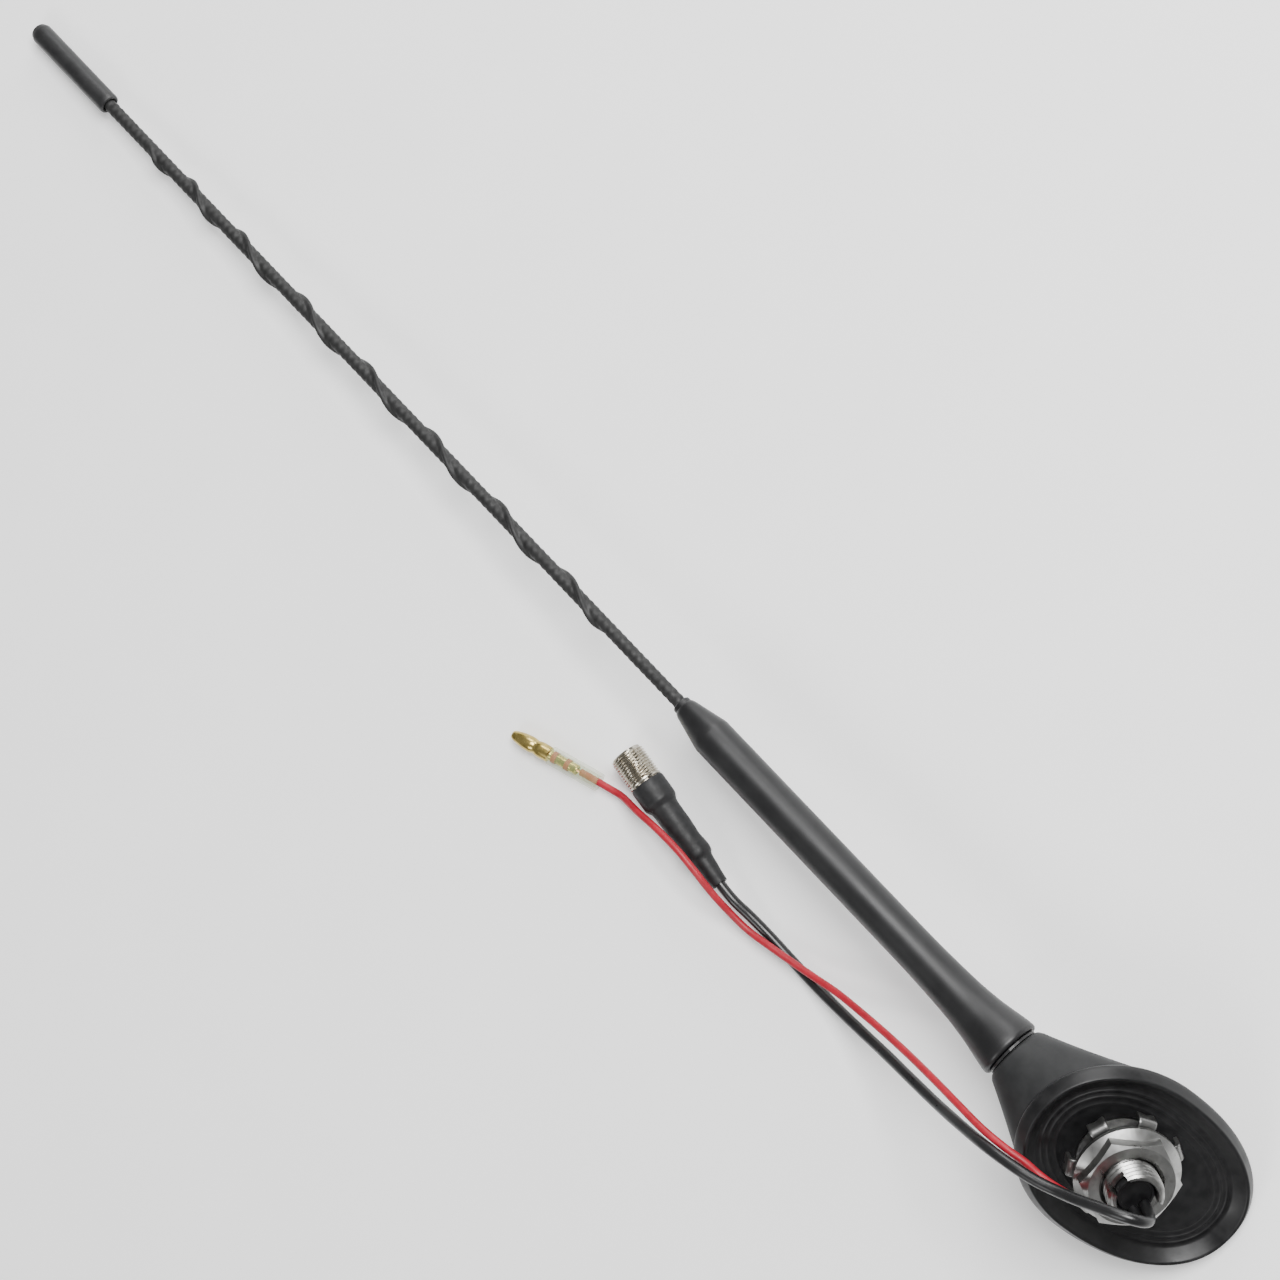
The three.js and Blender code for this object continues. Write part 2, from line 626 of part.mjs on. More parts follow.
/** The threaded socket: a rear spigot, a threaded barrel and an open mouth. */
function socketBody() {
  const { rear, barrel, pitch, mouth, sleeveEnd, front } = SOCKET;
  const shoulder = sleeveEnd + GAP;
  return turned([
    [1.2, 26.2],
    [rear, 26.2],
    [rear, shoulder],
    [barrel, shoulder],
    [barrel, shoulder + 0.7],
    ...threadFlank(barrel, barrel - 0.4, pitch, shoulder + 0.9, front - 0.5),
    [barrel - 0.4, front],
    [mouth, front],
    [mouth, 28.2],
    [1.2, 28.2],
    [1.2, 26.2],
  ], 18);
}

/** The white core inside the socket's mouth. */
const socketInsulator = () =>
  sleeve(SOCKET_CORE.bore, SOCKET.mouth - GAP, SOCKET_CORE.foot, SOCKET.front - GAP, 20);

const socketContact = () =>
  rod(SOCKET_CORE.contact, SOCKET_CORE.contactFoot, SOCKET.front - SOCKET_CORE.contactSunk, 10);

/** The bullet: a slotless nose with a shallow waist, and the barrel crimped on the wire. */
const bulletTerminal = () =>
  turned([
    [0.8, BULLET.barrelFoot],
    [BULLET.barrel, BULLET.barrelFoot],
    [BULLET.barrel, BULLET.shoulder],
    [2.15, BULLET.shoulder],
    [2.2, 18.7],
    [1.95, 20],
    [1.95, 20.6],
    [2.15, 21.6],
    [2.1, 23.1],
    [1.9, 24.8],
    [1.4, 27.3],
    [1.0, BULLET.tip],
    [0, BULLET.tip],
    [0, 12.4],
    [0.8, 12.4],
    [0.8, BULLET.barrelFoot],
  ], 20);

/** The milky cover that slides over the bullet's barrel. */
const bulletSleeve = () => sleeve(BULLET_COVER.bore, BULLET_COVER.radius, 0, BULLET_COVER.length, 20);

// ---- Assembly, laid down on its front edge and its tip ----
const antenna = new THREE.Group();

addPart(antenna, "base_shell", baseShell(), MATT_GREY());
addPart(antenna, "rim_gasket", rimGasket(), BLACK_RUBBER());
addPart(antenna, "base_frame", baseFrame(), DIE_CAST());
addPart(antenna, "neck_bush", neckBush(), WHITE_PLASTIC());
addPart(antenna, "mast_socket", mastSocket(), BRASS());
addPart(antenna, "hollow_stud", hollowStud(), ZINC());
addPart(antenna, "cable_gland", cableGland(), BLACK_RUBBER());
addPart(antenna, "flange_nut", flangeNut(), ZINC());
addPart(antenna, "claw_washer", clawWasher(), ZINC());
addPart(antenna, "amplifier_board", amplifierBoard(), GREEN_BOARD());
addPart(antenna, "amplifier_chip", amplifierChip(), BLACK_PLASTIC());
addPart(antenna, "shield_can", shieldCan(), NICKEL());
addPart(antenna, "choke_coil", chokeCoil(), BLACK_PLASTIC());
addPart(antenna, "filter_capacitor", filterCapacitor(), NICKEL());
addPart(antenna, "feed_lead", feedLead(), COPPER());
addPart(antenna, "coax_tail", leadTail(COAX_RADIUS, 2.2, 0.2), BLACK_PLASTIC());
addPart(antenna, "power_tail", leadTail(WIRE_RADIUS, 1.6, 3.2), RED_PVC());
bothSides((side, index) => {
  const shellScrew = screw(SHELL_SCREW.shank, SHELL_SCREW.head, 4.7, 5.8, 9.8);
  const boardScrew = screw(BOARD_SCREW.shank, BOARD_SCREW.head, boardTop + 0.8, boardTop, 5.8);
  const number = index + 1;
  addPart(antenna, `shell_screw_${number}`, movedTo(shellScrew, SHELL_SCREW.x, side * SHELL_SCREW.y), STEEL());
  addPart(antenna, `board_screw_${number}`, movedTo(boardScrew, BOARD_SCREW.x, side * BOARD_SCREW.y), STEEL());
});

addPart(antenna, "mast_seal", mastSeal(), BLACK_RUBBER());
addPart(antenna, "mast_stem", mastStem(), STEEL());
addPart(antenna, "flex_spring", flexSpring(), STEEL());
addPart(antenna, "grip_ferrule", gripFerrule(), BRASS());
addPart(antenna, "grip", grip(), BLACK_RUBBER());
addPart(antenna, "whip_core", whipCore(), WHITE_PLASTIC());
addPart(antenna, "whip_winding", whipWinding(), COPPER());
addPart(antenna, "whip_sleeve", whipSleeve(), BLACK_PLASTIC());
addPart(antenna, "tip_cap", tipCap(), BLACK_PLASTIC());

/** Turns the antenna until the shell's front edge and the tip cap both touch a flat surface. */
function layDown(group) {
  const tip = alongMast(MAST_TIP - 2);
  const [edgeX] = footPoint(0, SHELL.footInset);
  const run = edgeX - tip.x;
  const rise = tip.z - SHELL.foot;
  const tilt = Math.atan2(rise, run) + Math.asin(CAP.radius / Math.hypot(run, rise));
  group.rotation.y = Math.PI - tilt;
  group.updateMatrixWorld(true);
  const box = new THREE.Box3().setFromObject(group, true);
  const centre = box.getCenter(new THREE.Vector3());
  group.position.set(-centre.x, -centre.y, -box.min.z);
}
layDown(antenna);

const coaxEnd = axisGroup(SOCKET_END);
const wireEnd = axisGroup(BULLET_END);
const part = new THREE.Group();
part.add(antenna, coaxEnd, wireEnd);

addPart(part, "coax_cable", lead(COAX_ROUTE, COAX_RADIUS, 54), BLACK_PLASTIC());
addPart(coaxEnd, "socket_sleeve", socketSleeve(), BLACK_RUBBER());
addPart(coaxEnd, "crimp_ferrule", crimpFerrule(), NICKEL());
addPart(coaxEnd, "socket_body", socketBody(), NICKEL());
addPart(coaxEnd, "socket_insulator", socketInsulator(), WHITE_PLASTIC());
addPart(coaxEnd, "socket_contact", socketContact(), BRASS());

addPart(part, "power_wire", lead(WIRE_ROUTE, WIRE_RADIUS, 62), RED_PVC());
addPart(wireEnd, "wire_strands", rod(STRANDS.radius, STRANDS.foot, STRANDS.end, 10), COPPER());
addPart(wireEnd, "bullet_terminal", bulletTerminal(), BRASS());
addPart(wireEnd, "bullet_sleeve", bulletSleeve(), MILKY_PVC());

export default part;
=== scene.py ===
# Looks of a car-roof whip antenna that lies beside its two leads. The metal, rubber and plastic
# pieces are shaped in millimetres along their own axes and carried into the part's frame in metres.
import json
import math

import bmesh
import bpy
from mathutils import Matrix, Vector, noise


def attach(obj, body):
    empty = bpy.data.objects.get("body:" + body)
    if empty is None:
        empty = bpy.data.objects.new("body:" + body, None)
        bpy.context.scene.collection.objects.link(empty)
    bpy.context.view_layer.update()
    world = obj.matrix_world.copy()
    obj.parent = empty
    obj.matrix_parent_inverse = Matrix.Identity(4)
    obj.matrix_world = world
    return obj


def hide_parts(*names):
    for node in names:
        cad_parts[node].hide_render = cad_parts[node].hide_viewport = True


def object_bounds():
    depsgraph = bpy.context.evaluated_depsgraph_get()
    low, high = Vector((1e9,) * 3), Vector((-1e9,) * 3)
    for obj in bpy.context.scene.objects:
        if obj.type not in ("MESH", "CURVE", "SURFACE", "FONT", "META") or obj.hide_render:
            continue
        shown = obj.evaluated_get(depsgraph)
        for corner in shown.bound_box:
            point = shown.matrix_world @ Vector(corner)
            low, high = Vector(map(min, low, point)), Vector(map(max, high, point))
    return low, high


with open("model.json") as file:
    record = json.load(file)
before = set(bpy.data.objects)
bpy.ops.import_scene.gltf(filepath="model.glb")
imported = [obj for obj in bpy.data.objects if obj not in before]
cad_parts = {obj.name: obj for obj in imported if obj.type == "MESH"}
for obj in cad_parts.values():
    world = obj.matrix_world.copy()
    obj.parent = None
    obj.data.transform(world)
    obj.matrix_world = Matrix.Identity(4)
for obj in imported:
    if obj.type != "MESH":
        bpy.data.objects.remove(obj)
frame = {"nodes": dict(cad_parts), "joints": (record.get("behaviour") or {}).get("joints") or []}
CAD_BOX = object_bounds()

MM = 0.001
TURN = 2 * math.pi

# In millimetres: how near the axis a point counts as on it, and how near two points are joined.
ON_AXIS = 1e-6
WELD = 1e-4

# ---- Driving sizes, in millimetres, as in the part ----
NECK = 33
GRIP_FOOT = NECK + 1.2
GRIP_TOP = GRIP_FOOT + 122.8
MAST_TIP = GRIP_FOOT + 400
MAST_LEAN = math.radians(52)
MAST_FOOT_X = -4
FOOT = {"centre": 2.1, "front": 37, "rear": 29.6, "side": 24, "front_power": 2.2, "rear_power": 2.04}
SHELL = {"foot": 4.6, "inset": 1.1, "wall": 2, "neck": 8.2, "hole": 5.5}
GASKET = {"top": 4.3, "floor": 2.6, "inset": 8.9, "hole": 10.8}
GASKET_LIP = {"outer": 1.6, "inner": 2.3, "bevel_foot": 5.4}
RIBS = {"half": 0.4, "places": ((10.2, 0.12), (8.2, 0.2), (6.6, 0.2))}
STUD = {"major": 7, "minor": 6.3, "pitch": 1.5, "bore": 5, "end": -16.4, "neck": -1.6}
STUD_HEAD = {"radius": 9.3, "foot": 7.3, "top": 8.5}
STUD_SLOT = {"width": 4.8, "depth": 3.6}
# The guessed boot covers the wire's first rings, about 5 mm.
BOOT = {"rings": 19, "radius": 1.3}
GLAND = {"radius": 4.7, "inner": -8, "outer": -14.6}
NUT = {"flats": 22, "top": -5, "end": -10.9, "flange": 13.3, "bore": 7.3, "turn": 0.42}
NUT_CUT = {"sides": 60, "chamfer": 1.45, "seat": 2.8, "slope": 0.65, "reach": 20, "bevel": 0.14}
CLAWS = {"count": 7, "first": 147, "ring": 12.5, "reach": 14.6, "width": 4.6, "top": -3.4, "sheet": 1.1}
CLAW = {"tip": -0.5, "bend": 0.9, "notch": 1.2, "notch_reach": 1.6}
ROD = {"radius": 1.85, "bore": 1.35}
CAP = {"length": 34, "radius": 3.05, "bore": 2.15, "depth": 26}
BEAD = {"radius": 0.85, "foot": 150, "top": 347.5, "change": 306.6, "open": 27.8, "tight": 22.3}
FERRULE_MOUTH = 145.6
GRIP = {"radius": 5.4, "foot": 8.35, "cavity": 3.8, "cavity_top": 149, "cone": 11.5, "collar": 2.6}
SOCKET = {"rear": 3.8, "barrel": 4.75, "pitch": 0.8, "depth": 0.5, "mouth": 3.3, "front": 42.8}
SLEEVE = {"end": 33, "step": 25.9, "throat": 8.7, "inner": 2.9, "most": 4.85}
BULLET = {"barrel": 1.4, "foot": 6.9, "shoulder": 15.9, "tip": 27.9}
COVER = {"radius": 2.65, "bore": 1.75, "length": 15.6}
STRANDS = {"foot": 6.3, "end": 12.1, "count": 6, "lay": 5.0, "offset": 0.32, "radius": 0.16}
BANDS = {"places": (10.0, 14.2), "half": 0.7, "inner": 0.02, "outer": 0.24}
COAX_RADIUS = 1.45
WIRE_RADIUS = 1.0
LEAD_SIDES = 16
SOCKET_END = {"at": (-0.0793, 0.0301, 0.00495), "heading": math.radians(-8.3)}
BULLET_END = {"at": (-0.0363, 0.0353, 0.0027), "heading": math.radians(16.7)}

# The leads' routes, in metres.
COAX_ROUTE = [
    (-0.2136, 0.0004, 0.0361), (-0.2154, 0.0004, 0.0387), (-0.2169, 0.0004, 0.0415),
    (-0.2173, 0.0006, 0.0440), (-0.2165, 0.0010, 0.0462), (-0.2143, 0.0020, 0.0478),
    (-0.2110, 0.0038, 0.0480), (-0.2067, 0.0063, 0.0467), (-0.2024, 0.0090, 0.0449),
    (-0.1975, 0.0116, 0.0432), (-0.1922, 0.0138, 0.0426), (-0.1862, 0.0155, 0.0419),
    (-0.1791, 0.0174, 0.0399), (-0.1703, 0.0202, 0.0337), (-0.1610, 0.0230, 0.0264),
    (-0.1515, 0.0252, 0.0200), (-0.1420, 0.0272, 0.0140), (-0.1325, 0.0292, 0.0087),
    (-0.1240, 0.0306, 0.0050), (-0.1153, 0.0314, 0.0026), (-0.1060, 0.0315, 0.0016),
    (-0.0975, 0.0312, 0.0018), (-0.0904, 0.0309, 0.0030), (-0.0848, 0.0307, 0.0045),
    (-0.0793, 0.0301, 0.00495), (-0.0704, 0.0288, 0.00495),
]
WIRE_ROUTE = [
    (-0.2128, 0.0031, 0.0369), (-0.2140, 0.0031, 0.0385), (-0.2149, 0.0031, 0.0403),
    (-0.2149, 0.0031, 0.0422), (-0.2138, 0.0034, 0.0438), (-0.2117, 0.0041, 0.0447),
    (-0.2092, 0.0053, 0.0446), (-0.2066, 0.0068, 0.0436), (-0.2038, 0.0085, 0.0424),
    (-0.2009, 0.0103, 0.0410), (-0.1962, 0.0123, 0.0391), (-0.1916, 0.0134, 0.0382),
    (-0.1870, 0.0136, 0.0389), (-0.1822, 0.0144, 0.0393), (-0.1746, 0.0157, 0.0379),
    (-0.1660, 0.0170, 0.0338), (-0.1569, 0.0187, 0.0280), (-0.1474, 0.0208, 0.0215),
    (-0.1382, 0.0230, 0.0157), (-0.1294, 0.0252, 0.0108), (-0.1216, 0.0271, 0.0074),
    (-0.1142, 0.0292, 0.0054), (-0.1071, 0.0309, 0.0046), (-0.0996, 0.0325, 0.0042),
    (-0.0927, 0.0338, 0.0036), (-0.0864, 0.0336, 0.0050), (-0.0805, 0.0327, 0.0076),
    (-0.0727, 0.0312, 0.0099), (-0.0665, 0.0305, 0.0104), (-0.0583, 0.0308, 0.0094),
    (-0.0504, 0.0321, 0.0067), (-0.0432, 0.0334, 0.0030), (-0.0396, 0.0344, 0.0027),
    (-0.0363, 0.0353, 0.0027), (-0.0306, 0.0370, 0.0027),
]


# ---- Camera and light ----
CAMERA = {
    "lens_mm": 88.148, "sensor_mm": 36, "near": 0.05, "far": 10, "place": (-0.2320, -0.1986, 0.7782),
    "right": (-0.6781, -0.6453, -0.3518), "up": (0.6883, -0.7254, 0.0037),
}
SURROUND_STRENGTH = 0.34
FLOOR_REACH = 3.0
# Each soft light: its name, its direction from the part, its distance, its width and its power.
LIGHTS = [
    ("overhead", (-0.085, -0.558, 0.9), 1.2, 0.6, 24),
    ("side", (0.44, -0.85, 0.35), 1.1, 0.5, 7),
    ("back", (-0.3, 0.75, 0.8), 1.4, 0.5, 6),
]


def make_camera():
    """A long lens that looks steeply down, rolled so that the mast runs up to the left."""
    data = bpy.data.cameras.new("camera")
    data.lens = CAMERA["lens_mm"]
    data.sensor_width = CAMERA["sensor_mm"]
    data.clip_start = CAMERA["near"]
    data.clip_end = CAMERA["far"]
    right = Vector(CAMERA["right"])
    up = Vector(CAMERA["up"])
    back = right.cross(up)
    camera = bpy.data.objects.new("camera", data)
    rotation = Matrix((right, up, back)).transposed().to_4x4()
    camera.matrix_world = Matrix.Translation(CAMERA["place"]) @ rotation
    bpy.context.scene.collection.objects.link(camera)
    bpy.context.scene.camera = camera


def add_light(name, toward, distance, size, power):
    """A square soft light, placed along a direction from the middle of the part and aimed at it."""
    data = bpy.data.lights.new(name, "AREA")
    data.shape = "SQUARE"
    data.size = size
    data.energy = power
    light = bpy.data.objects.new(name, data)
    aim = Vector(toward).normalized()
    light.location = (CAD_BOX[0] + CAD_BOX[1]) / 2 + aim * distance
    light.rotation_mode = "QUATERNION"
    light.rotation_quaternion = aim.to_track_quat("Z", "Y")
    bpy.context.scene.collection.objects.link(light)


def make_studio():
    """A dim surround and three soft lights: overhead, low at the side, and behind."""
    world = bpy.data.worlds.new("studio")
    world.use_nodes = True
    background = world.node_tree.nodes["Background"]
    background.inputs["Color"].default_value = (1, 1, 1, 1)
    background.inputs["Strength"].default_value = SURROUND_STRENGTH
    bpy.context.scene.world = world
    for light in LIGHTS:
        add_light(*light)


def make_floor(material):
    mesh = bpy.data.meshes.new("floor")
    corners = [(x * FLOOR_REACH, y * FLOOR_REACH, 0) for x, y in ((-1, -1), (1, -1), (1, 1), (-1, 1))]
    mesh.from_pydata(corners, [], [(0, 1, 2, 3)])
    floor = bpy.data.objects.new("floor", mesh)
    mesh.materials.append(material)
    bpy.context.scene.collection.objects.link(floor)


# ---- Local frames ----
def axes_at(origin, along):
    """Millimetres on a sub-part's own axes, to metres in the part's frame: Z runs along."""
    z = Vector(along).normalized()
    x = Vector((0, 1, 0)).cross(z).normalized()
    if abs(z.z) < 1e-9:
        x = Vector((0, 0, -1))
    y = z.cross(x)
    rotation = Matrix((x, y, z)).transposed().to_4x4()
    return Matrix.Translation(origin) @ rotation @ Matrix.Scale(MM, 4)


JOINTS = {joint["name"]: joint for joint in frame["joints"]}


def roof_axes():
    """The frame of the base: Z points out of the roof, from where the stud's axis meets it."""
    nut = JOINTS["nut_spin"]
    up = -Vector(nut["axis"]).normalized()
    return axes_at(Vector(nut["pos_m"]) - up * NUT["top"] * MM, up)


def mast_axes():
    """The frame of the mast: Z runs along it, from where its axis meets the gasket's underside."""
    spin = JOINTS["mast_spin"]
    along = Vector(spin["axis"]).normalized()
    return axes_at(Vector(spin["pos_m"]) - along * NECK * MM, along)


def end_axes(end):
    along = (math.cos(end["heading"]), math.sin(end["heading"]), 0)
    return axes_at(end["at"], along)


ROOF = roof_axes()
MAST = mast_axes()
SOCKET_AXES = end_axes(SOCKET_END)
BULLET_AXES = end_axes(BULLET_END)


# ---- Meshes ----
def mark_edges(bm, sharp_degrees):
    """Smooth faces, with a hard line at every edge that turns by more than an angle."""
    limit = math.radians(sharp_degrees)
    for face in bm.faces:
        face.smooth = True
    for edge in bm.edges:
        edge.smooth = edge.calc_face_angle(0) < limit


def make_object(name, bm, place, material, sharp_degrees=32):
    """A finished mesh object: faces out, smooth except at real edges."""
    bmesh.ops.remove_doubles(bm, verts=bm.verts, dist=WELD)
    bmesh.ops.recalc_face_normals(bm, faces=bm.faces)
    mark_edges(bm, sharp_degrees)
    bm.transform(place)
    mesh = bpy.data.meshes.new(name)
    bm.to_mesh(mesh)
    bm.free()
    mesh.materials.append(material)
    made = bpy.data.objects.new(name, mesh)
    bpy.context.scene.collection.objects.link(made)
    return made


def skin(rings, loop=True):
    """A bmesh of closed rings joined in turn; with loop the last ring joins the first."""
    bm = bmesh.new()
    made = [[bm.verts.new(point) for point in ring] for ring in rings]
    count = len(made)
    for i in range(count if loop else count - 1):
        low, high = made[i], made[(i + 1) % count]
        for k in range(len(low)):
            after = (k + 1) % len(low)
            bm.faces.new((low[k], low[after], high[after], high[k]))
    if not loop:
        bm.faces.new(made[0])
        bm.faces.new(made[-1])
    return bm


def rounded(outline, radius, steps=4):
    """A closed outline with its corners softened; corners on the axis stay."""
    soft = []
    most = 0.45
    for i, point in enumerate(outline):
        corner = Vector(point)
        back = Vector(outline[i - 1]) - corner
        ahead = Vector(outline[(i + 1) % len(outline)]) - corner
        reach = min(radius, back.length * most, ahead.length * most)
        if corner.x < ON_AXIS or reach < WELD:
            soft.append(tuple(corner))
            continue
        start = corner + back.normalized() * reach
        end = corner + ahead.normalized() * reach
        for k in range(steps + 1):
            t = k / steps
            soft.append(tuple(start * (1 - t) ** 2 + corner * 2 * t * (1 - t) + end * t ** 2))
    return soft


def spaced(first, last, step):
    count = max(1, round(abs(last - first) / step))
    return [first + (last - first) * i / count for i in range(count + 1)]


def turned(outline, sides=64, shape=None, first_angle=0.0):
    """An outline of (radius, height) turned about Z; shape may move a radius at an angle."""
    rings = []
    for radius, height in outline:
        ring = []
        for k in range(sides):
            angle = first_angle + TURN * k / sides
            reach = shape(angle, radius, height) if shape and radius > ON_AXIS else radius
            ring.append((reach * math.cos(angle), reach * math.sin(angle), height))
        rings.append(ring)
    return skin(rings)


def thread_reach(angle, height, major, minor, pitch, foot, top):
    """The radius of a right-handed thread, flat at crest and root, that fades out at its ends."""
    flat, flank = 0.12, 0.76
    phase = (height / pitch - angle / TURN) % 1.0
    crest = 1 - abs(2 * phase - 1)
    depth = min(1.0, max(0.0, (crest - flat) / flank))
    fade = min(1.0, max(0.0, (height - foot) / pitch), max(0.0, (top - height) / pitch))
    return minor + (major - minor) * depth * fade


def add_bmesh(target, other):
    """Adds a second bmesh's shape to the first."""
    spare = bpy.data.meshes.new("spare")
    other.to_mesh(spare)
    other.free()
    target.from_mesh(spare)
    bpy.data.meshes.remove(spare)


def box_mesh(name, low, high, place):
    bm = bmesh.new()
    bmesh.ops.create_cube(bm, size=1)
    size = Vector(high) - Vector(low)
    middle = (Vector(high) + Vector(low)) / 2
    bm.transform(Matrix.Translation(middle) @ Matrix.Diagonal((*size, 1)))
    bm.transform(place)
    mesh = bpy.data.meshes.new(name)
    bm.to_mesh(mesh)
    bm.free()
    cutter = bpy.data.objects.new(name, mesh)
    bpy.context.scene.collection.objects.link(cutter)
    return cutter


def cut(target, cutter, sharp_degrees):
    """Takes the cutter's shape out of the target, and deletes the cutter."""
    step = target.modifiers.new("cut", "BOOLEAN")
    step.operation = "DIFFERENCE"
    step.solver = "EXACT"
    step.object = cutter
    graph = bpy.context.evaluated_depsgraph_get()
    result = bpy.data.meshes.new_from_object(target.evaluated_get(graph))
    target.modifiers.clear()
    bm = bmesh.new()
    bm.from_mesh(result)
    mark_edges(bm, sharp_degrees)
    bm.to_mesh(result)
    bm.free()
    old = target.data
    target.data = result
    bpy.data.meshes.remove(old)
    bpy.data.objects.remove(cutter)


def soften(piece, width_mm, sharp_degrees):
    """A small bevel on the piece's hard edges."""
    step = piece.modifiers.new("bevel", "BEVEL")
    step.width = width_mm * MM
    step.segments = 2
    step.limit_method = "ANGLE"
    step.angle_limit = math.radians(sharp_degrees)
    step.harden_normals = True


def wrinkle(x, y, z, scale):
    """Smooth repeatable unevenness, from about -1 to 1."""
    return noise.noise(Vector((x, y, z)) * scale)


# ---- Materials ----
class Surface:
    """A node material round one Principled shader, with its texture in the part's own metres."""

    def __init__(self, name, metallic=0.0):
        self.material = bpy.data.materials.new(name)
        self.material.use_nodes = True
        self.tree = self.material.node_tree
        self.shader = self.tree.nodes["Principled BSDF"]
        self.shader.inputs["Metallic"].default_value = metallic
        self.place = self.tree.nodes.new("ShaderNodeTexCoord").outputs["Object"]
        self.relief = None

    def join(self, source, target):
        if isinstance(source, bpy.types.NodeSocket):
            self.tree.links.new(source, target)
        else:
            target.default_value = source

    def noise(self, size_mm, detail=3, rough=0.5, stretch=(1, 1, 1)):
        """Noise whose spots are about size_mm across."""
        mapping = self.tree.nodes.new("ShaderNodeMapping")
        mapping.inputs["Scale"].default_value = stretch
        self.join(self.place, mapping.inputs["Vector"])
        texture = self.tree.nodes.new("ShaderNodeTexNoise")
        texture.inputs["Scale"].default_value = 1 / (size_mm * MM)
        texture.inputs["Detail"].default_value = detail
        texture.inputs["Roughness"].default_value = rough
        self.join(mapping.outputs["Vector"], texture.inputs["Vector"])
        return texture.outputs["Fac"]

    def cells(self, size_mm):
        """Irregular crystals about size_mm across, each with its own grey."""
        texture = self.tree.nodes.new("ShaderNodeTexVoronoi")
        texture.inputs["Scale"].default_value = 1 / (size_mm * MM)
        self.join(self.place, texture.inputs["Vector"])
        return texture.outputs["Color"]

    def spread(self, factor, low, high, start=0.3, end=0.7):
        """Maps a factor that lies from start to end onto low to high."""
        node = self.tree.nodes.new("ShaderNodeMapRange")
        node.inputs["From Min"].default_value = start
        node.inputs["From Max"].default_value = end
        node.inputs["To Min"].default_value = low
        node.inputs["To Max"].default_value = high
        self.join(factor, node.inputs["Value"])
        return node.outputs["Result"]

    def blend(self, factor, first, second):
        node = self.tree.nodes.new("ShaderNodeMix")
        node.data_type = "RGBA"
        self.join(factor, node.inputs["Factor"])
        self.join((*first, 1) if isinstance(first, tuple) else first, node.inputs["A"])
        self.join((*second, 1) if isinstance(second, tuple) else second, node.inputs["B"])
        return node.outputs["Result"]

    def colour(self, first, second, size_mm, start=0.35, end=0.65):
        """Base colour that wanders between two colours."""
        factor = self.spread(self.noise(size_mm), 0, 1, start, end)
        result = self.blend(factor, first, second)
        self.join(result, self.shader.inputs["Base Color"])
        return result

    def roughness(self, low, high, size_mm, stretch=(1, 1, 1)):
        factor = self.noise(size_mm, detail=4, stretch=stretch)
        self.join(self.spread(factor, low, high), self.shader.inputs["Roughness"])

    def bump(self, height, depth_mm, strength=1.0):
        """Adds relief of a given depth over any that is there already."""
        node = self.tree.nodes.new("ShaderNodeBump")
        node.inputs["Distance"].default_value = depth_mm * MM
        node.inputs["Strength"].default_value = strength
        self.join(height, node.inputs["Height"])
        if self.relief is not None:
            self.join(self.relief, node.inputs["Normal"])
        self.relief = node.outputs["Normal"]
        self.join(self.relief, self.shader.inputs["Normal"])

    def set(self, **values):
        for name, value in values.items():
            self.shader.inputs[name.replace("_", " ")].default_value = value


def plain_look(name, colours, rough, reliefs, metallic=0.0, stretch=(1, 1, 1), **values):
    """A material whose colour and roughness wander, with some fine relief.

    colours: two colours and the size of their patches, in millimetres. rough: the least and the most
    roughness and the size of its patches. Each relief: its grain's size, detail, depth and strength.
    """
    look = Surface(name, metallic)
    look.colour(*colours)
    look.roughness(*rough, stretch=stretch)
    for size_mm, detail, depth_mm, strength in reliefs:
        look.bump(look.noise(size_mm, detail=detail), depth_mm, strength)
    look.set(**values)
    return look.material


def zinc(name, shade, rough):
    """Zinc plate of a given grey and roughness: cloudy and lightly stained."""
    look = Surface(name, metallic=1.0)
    low, high = shade * 0.8, shade * 1.15
    clouds = look.spread(look.noise(3.5), 0, 1)
    plated = look.blend(clouds, (low, low, low * 0.98), (high, high, high * 0.98))
    stain = look.spread(look.noise(2.6, detail=2), 0, 0.4, 0.58, 0.72)
    dark = shade * 0.45
    look.join(look.blend(stain, plated, (dark, dark, dark * 0.92)), look.shader.inputs["Base Color"])
    look.roughness(rough, rough + 0.1, 2.5)
    look.bump(look.noise(3, detail=1), 0.01, 0.2)
    return look.material


def nickel():
    """Warm nickel plate with a few brown stains."""
    look = Surface("nickel", metallic=1.0)
    clean = look.blend(look.spread(look.noise(2), 0, 1), (0.42, 0.39, 0.33), (0.56, 0.53, 0.46))
    stain = look.spread(look.noise(2.4, detail=2), 0, 0.45, 0.56, 0.72)
    look.join(look.blend(stain, clean, (0.24, 0.19, 0.13)), look.shader.inputs["Base Color"])
    look.roughness(0.18, 0.26, 2)
    look.bump(look.noise(2, detail=1), 0.003, 0.2)
    return look.material


def green_board():
    """Solder-resisted board with a faint weave and lighter tracks."""
    look = Surface("green_board")
    tracks = look.spread(look.cells(1.6), 0, 1, 0.45, 0.55)
    green = look.blend(tracks, (0.012, 0.07, 0.028), (0.02, 0.12, 0.05))
    look.join(green, look.shader.inputs["Base Color"])
    look.roughness(0.3, 0.5, 2)
    look.bump(tracks, 0.03, 0.6)
    look.bump(look.noise(0.3, detail=2), 0.01, 0.4)
    return look.material


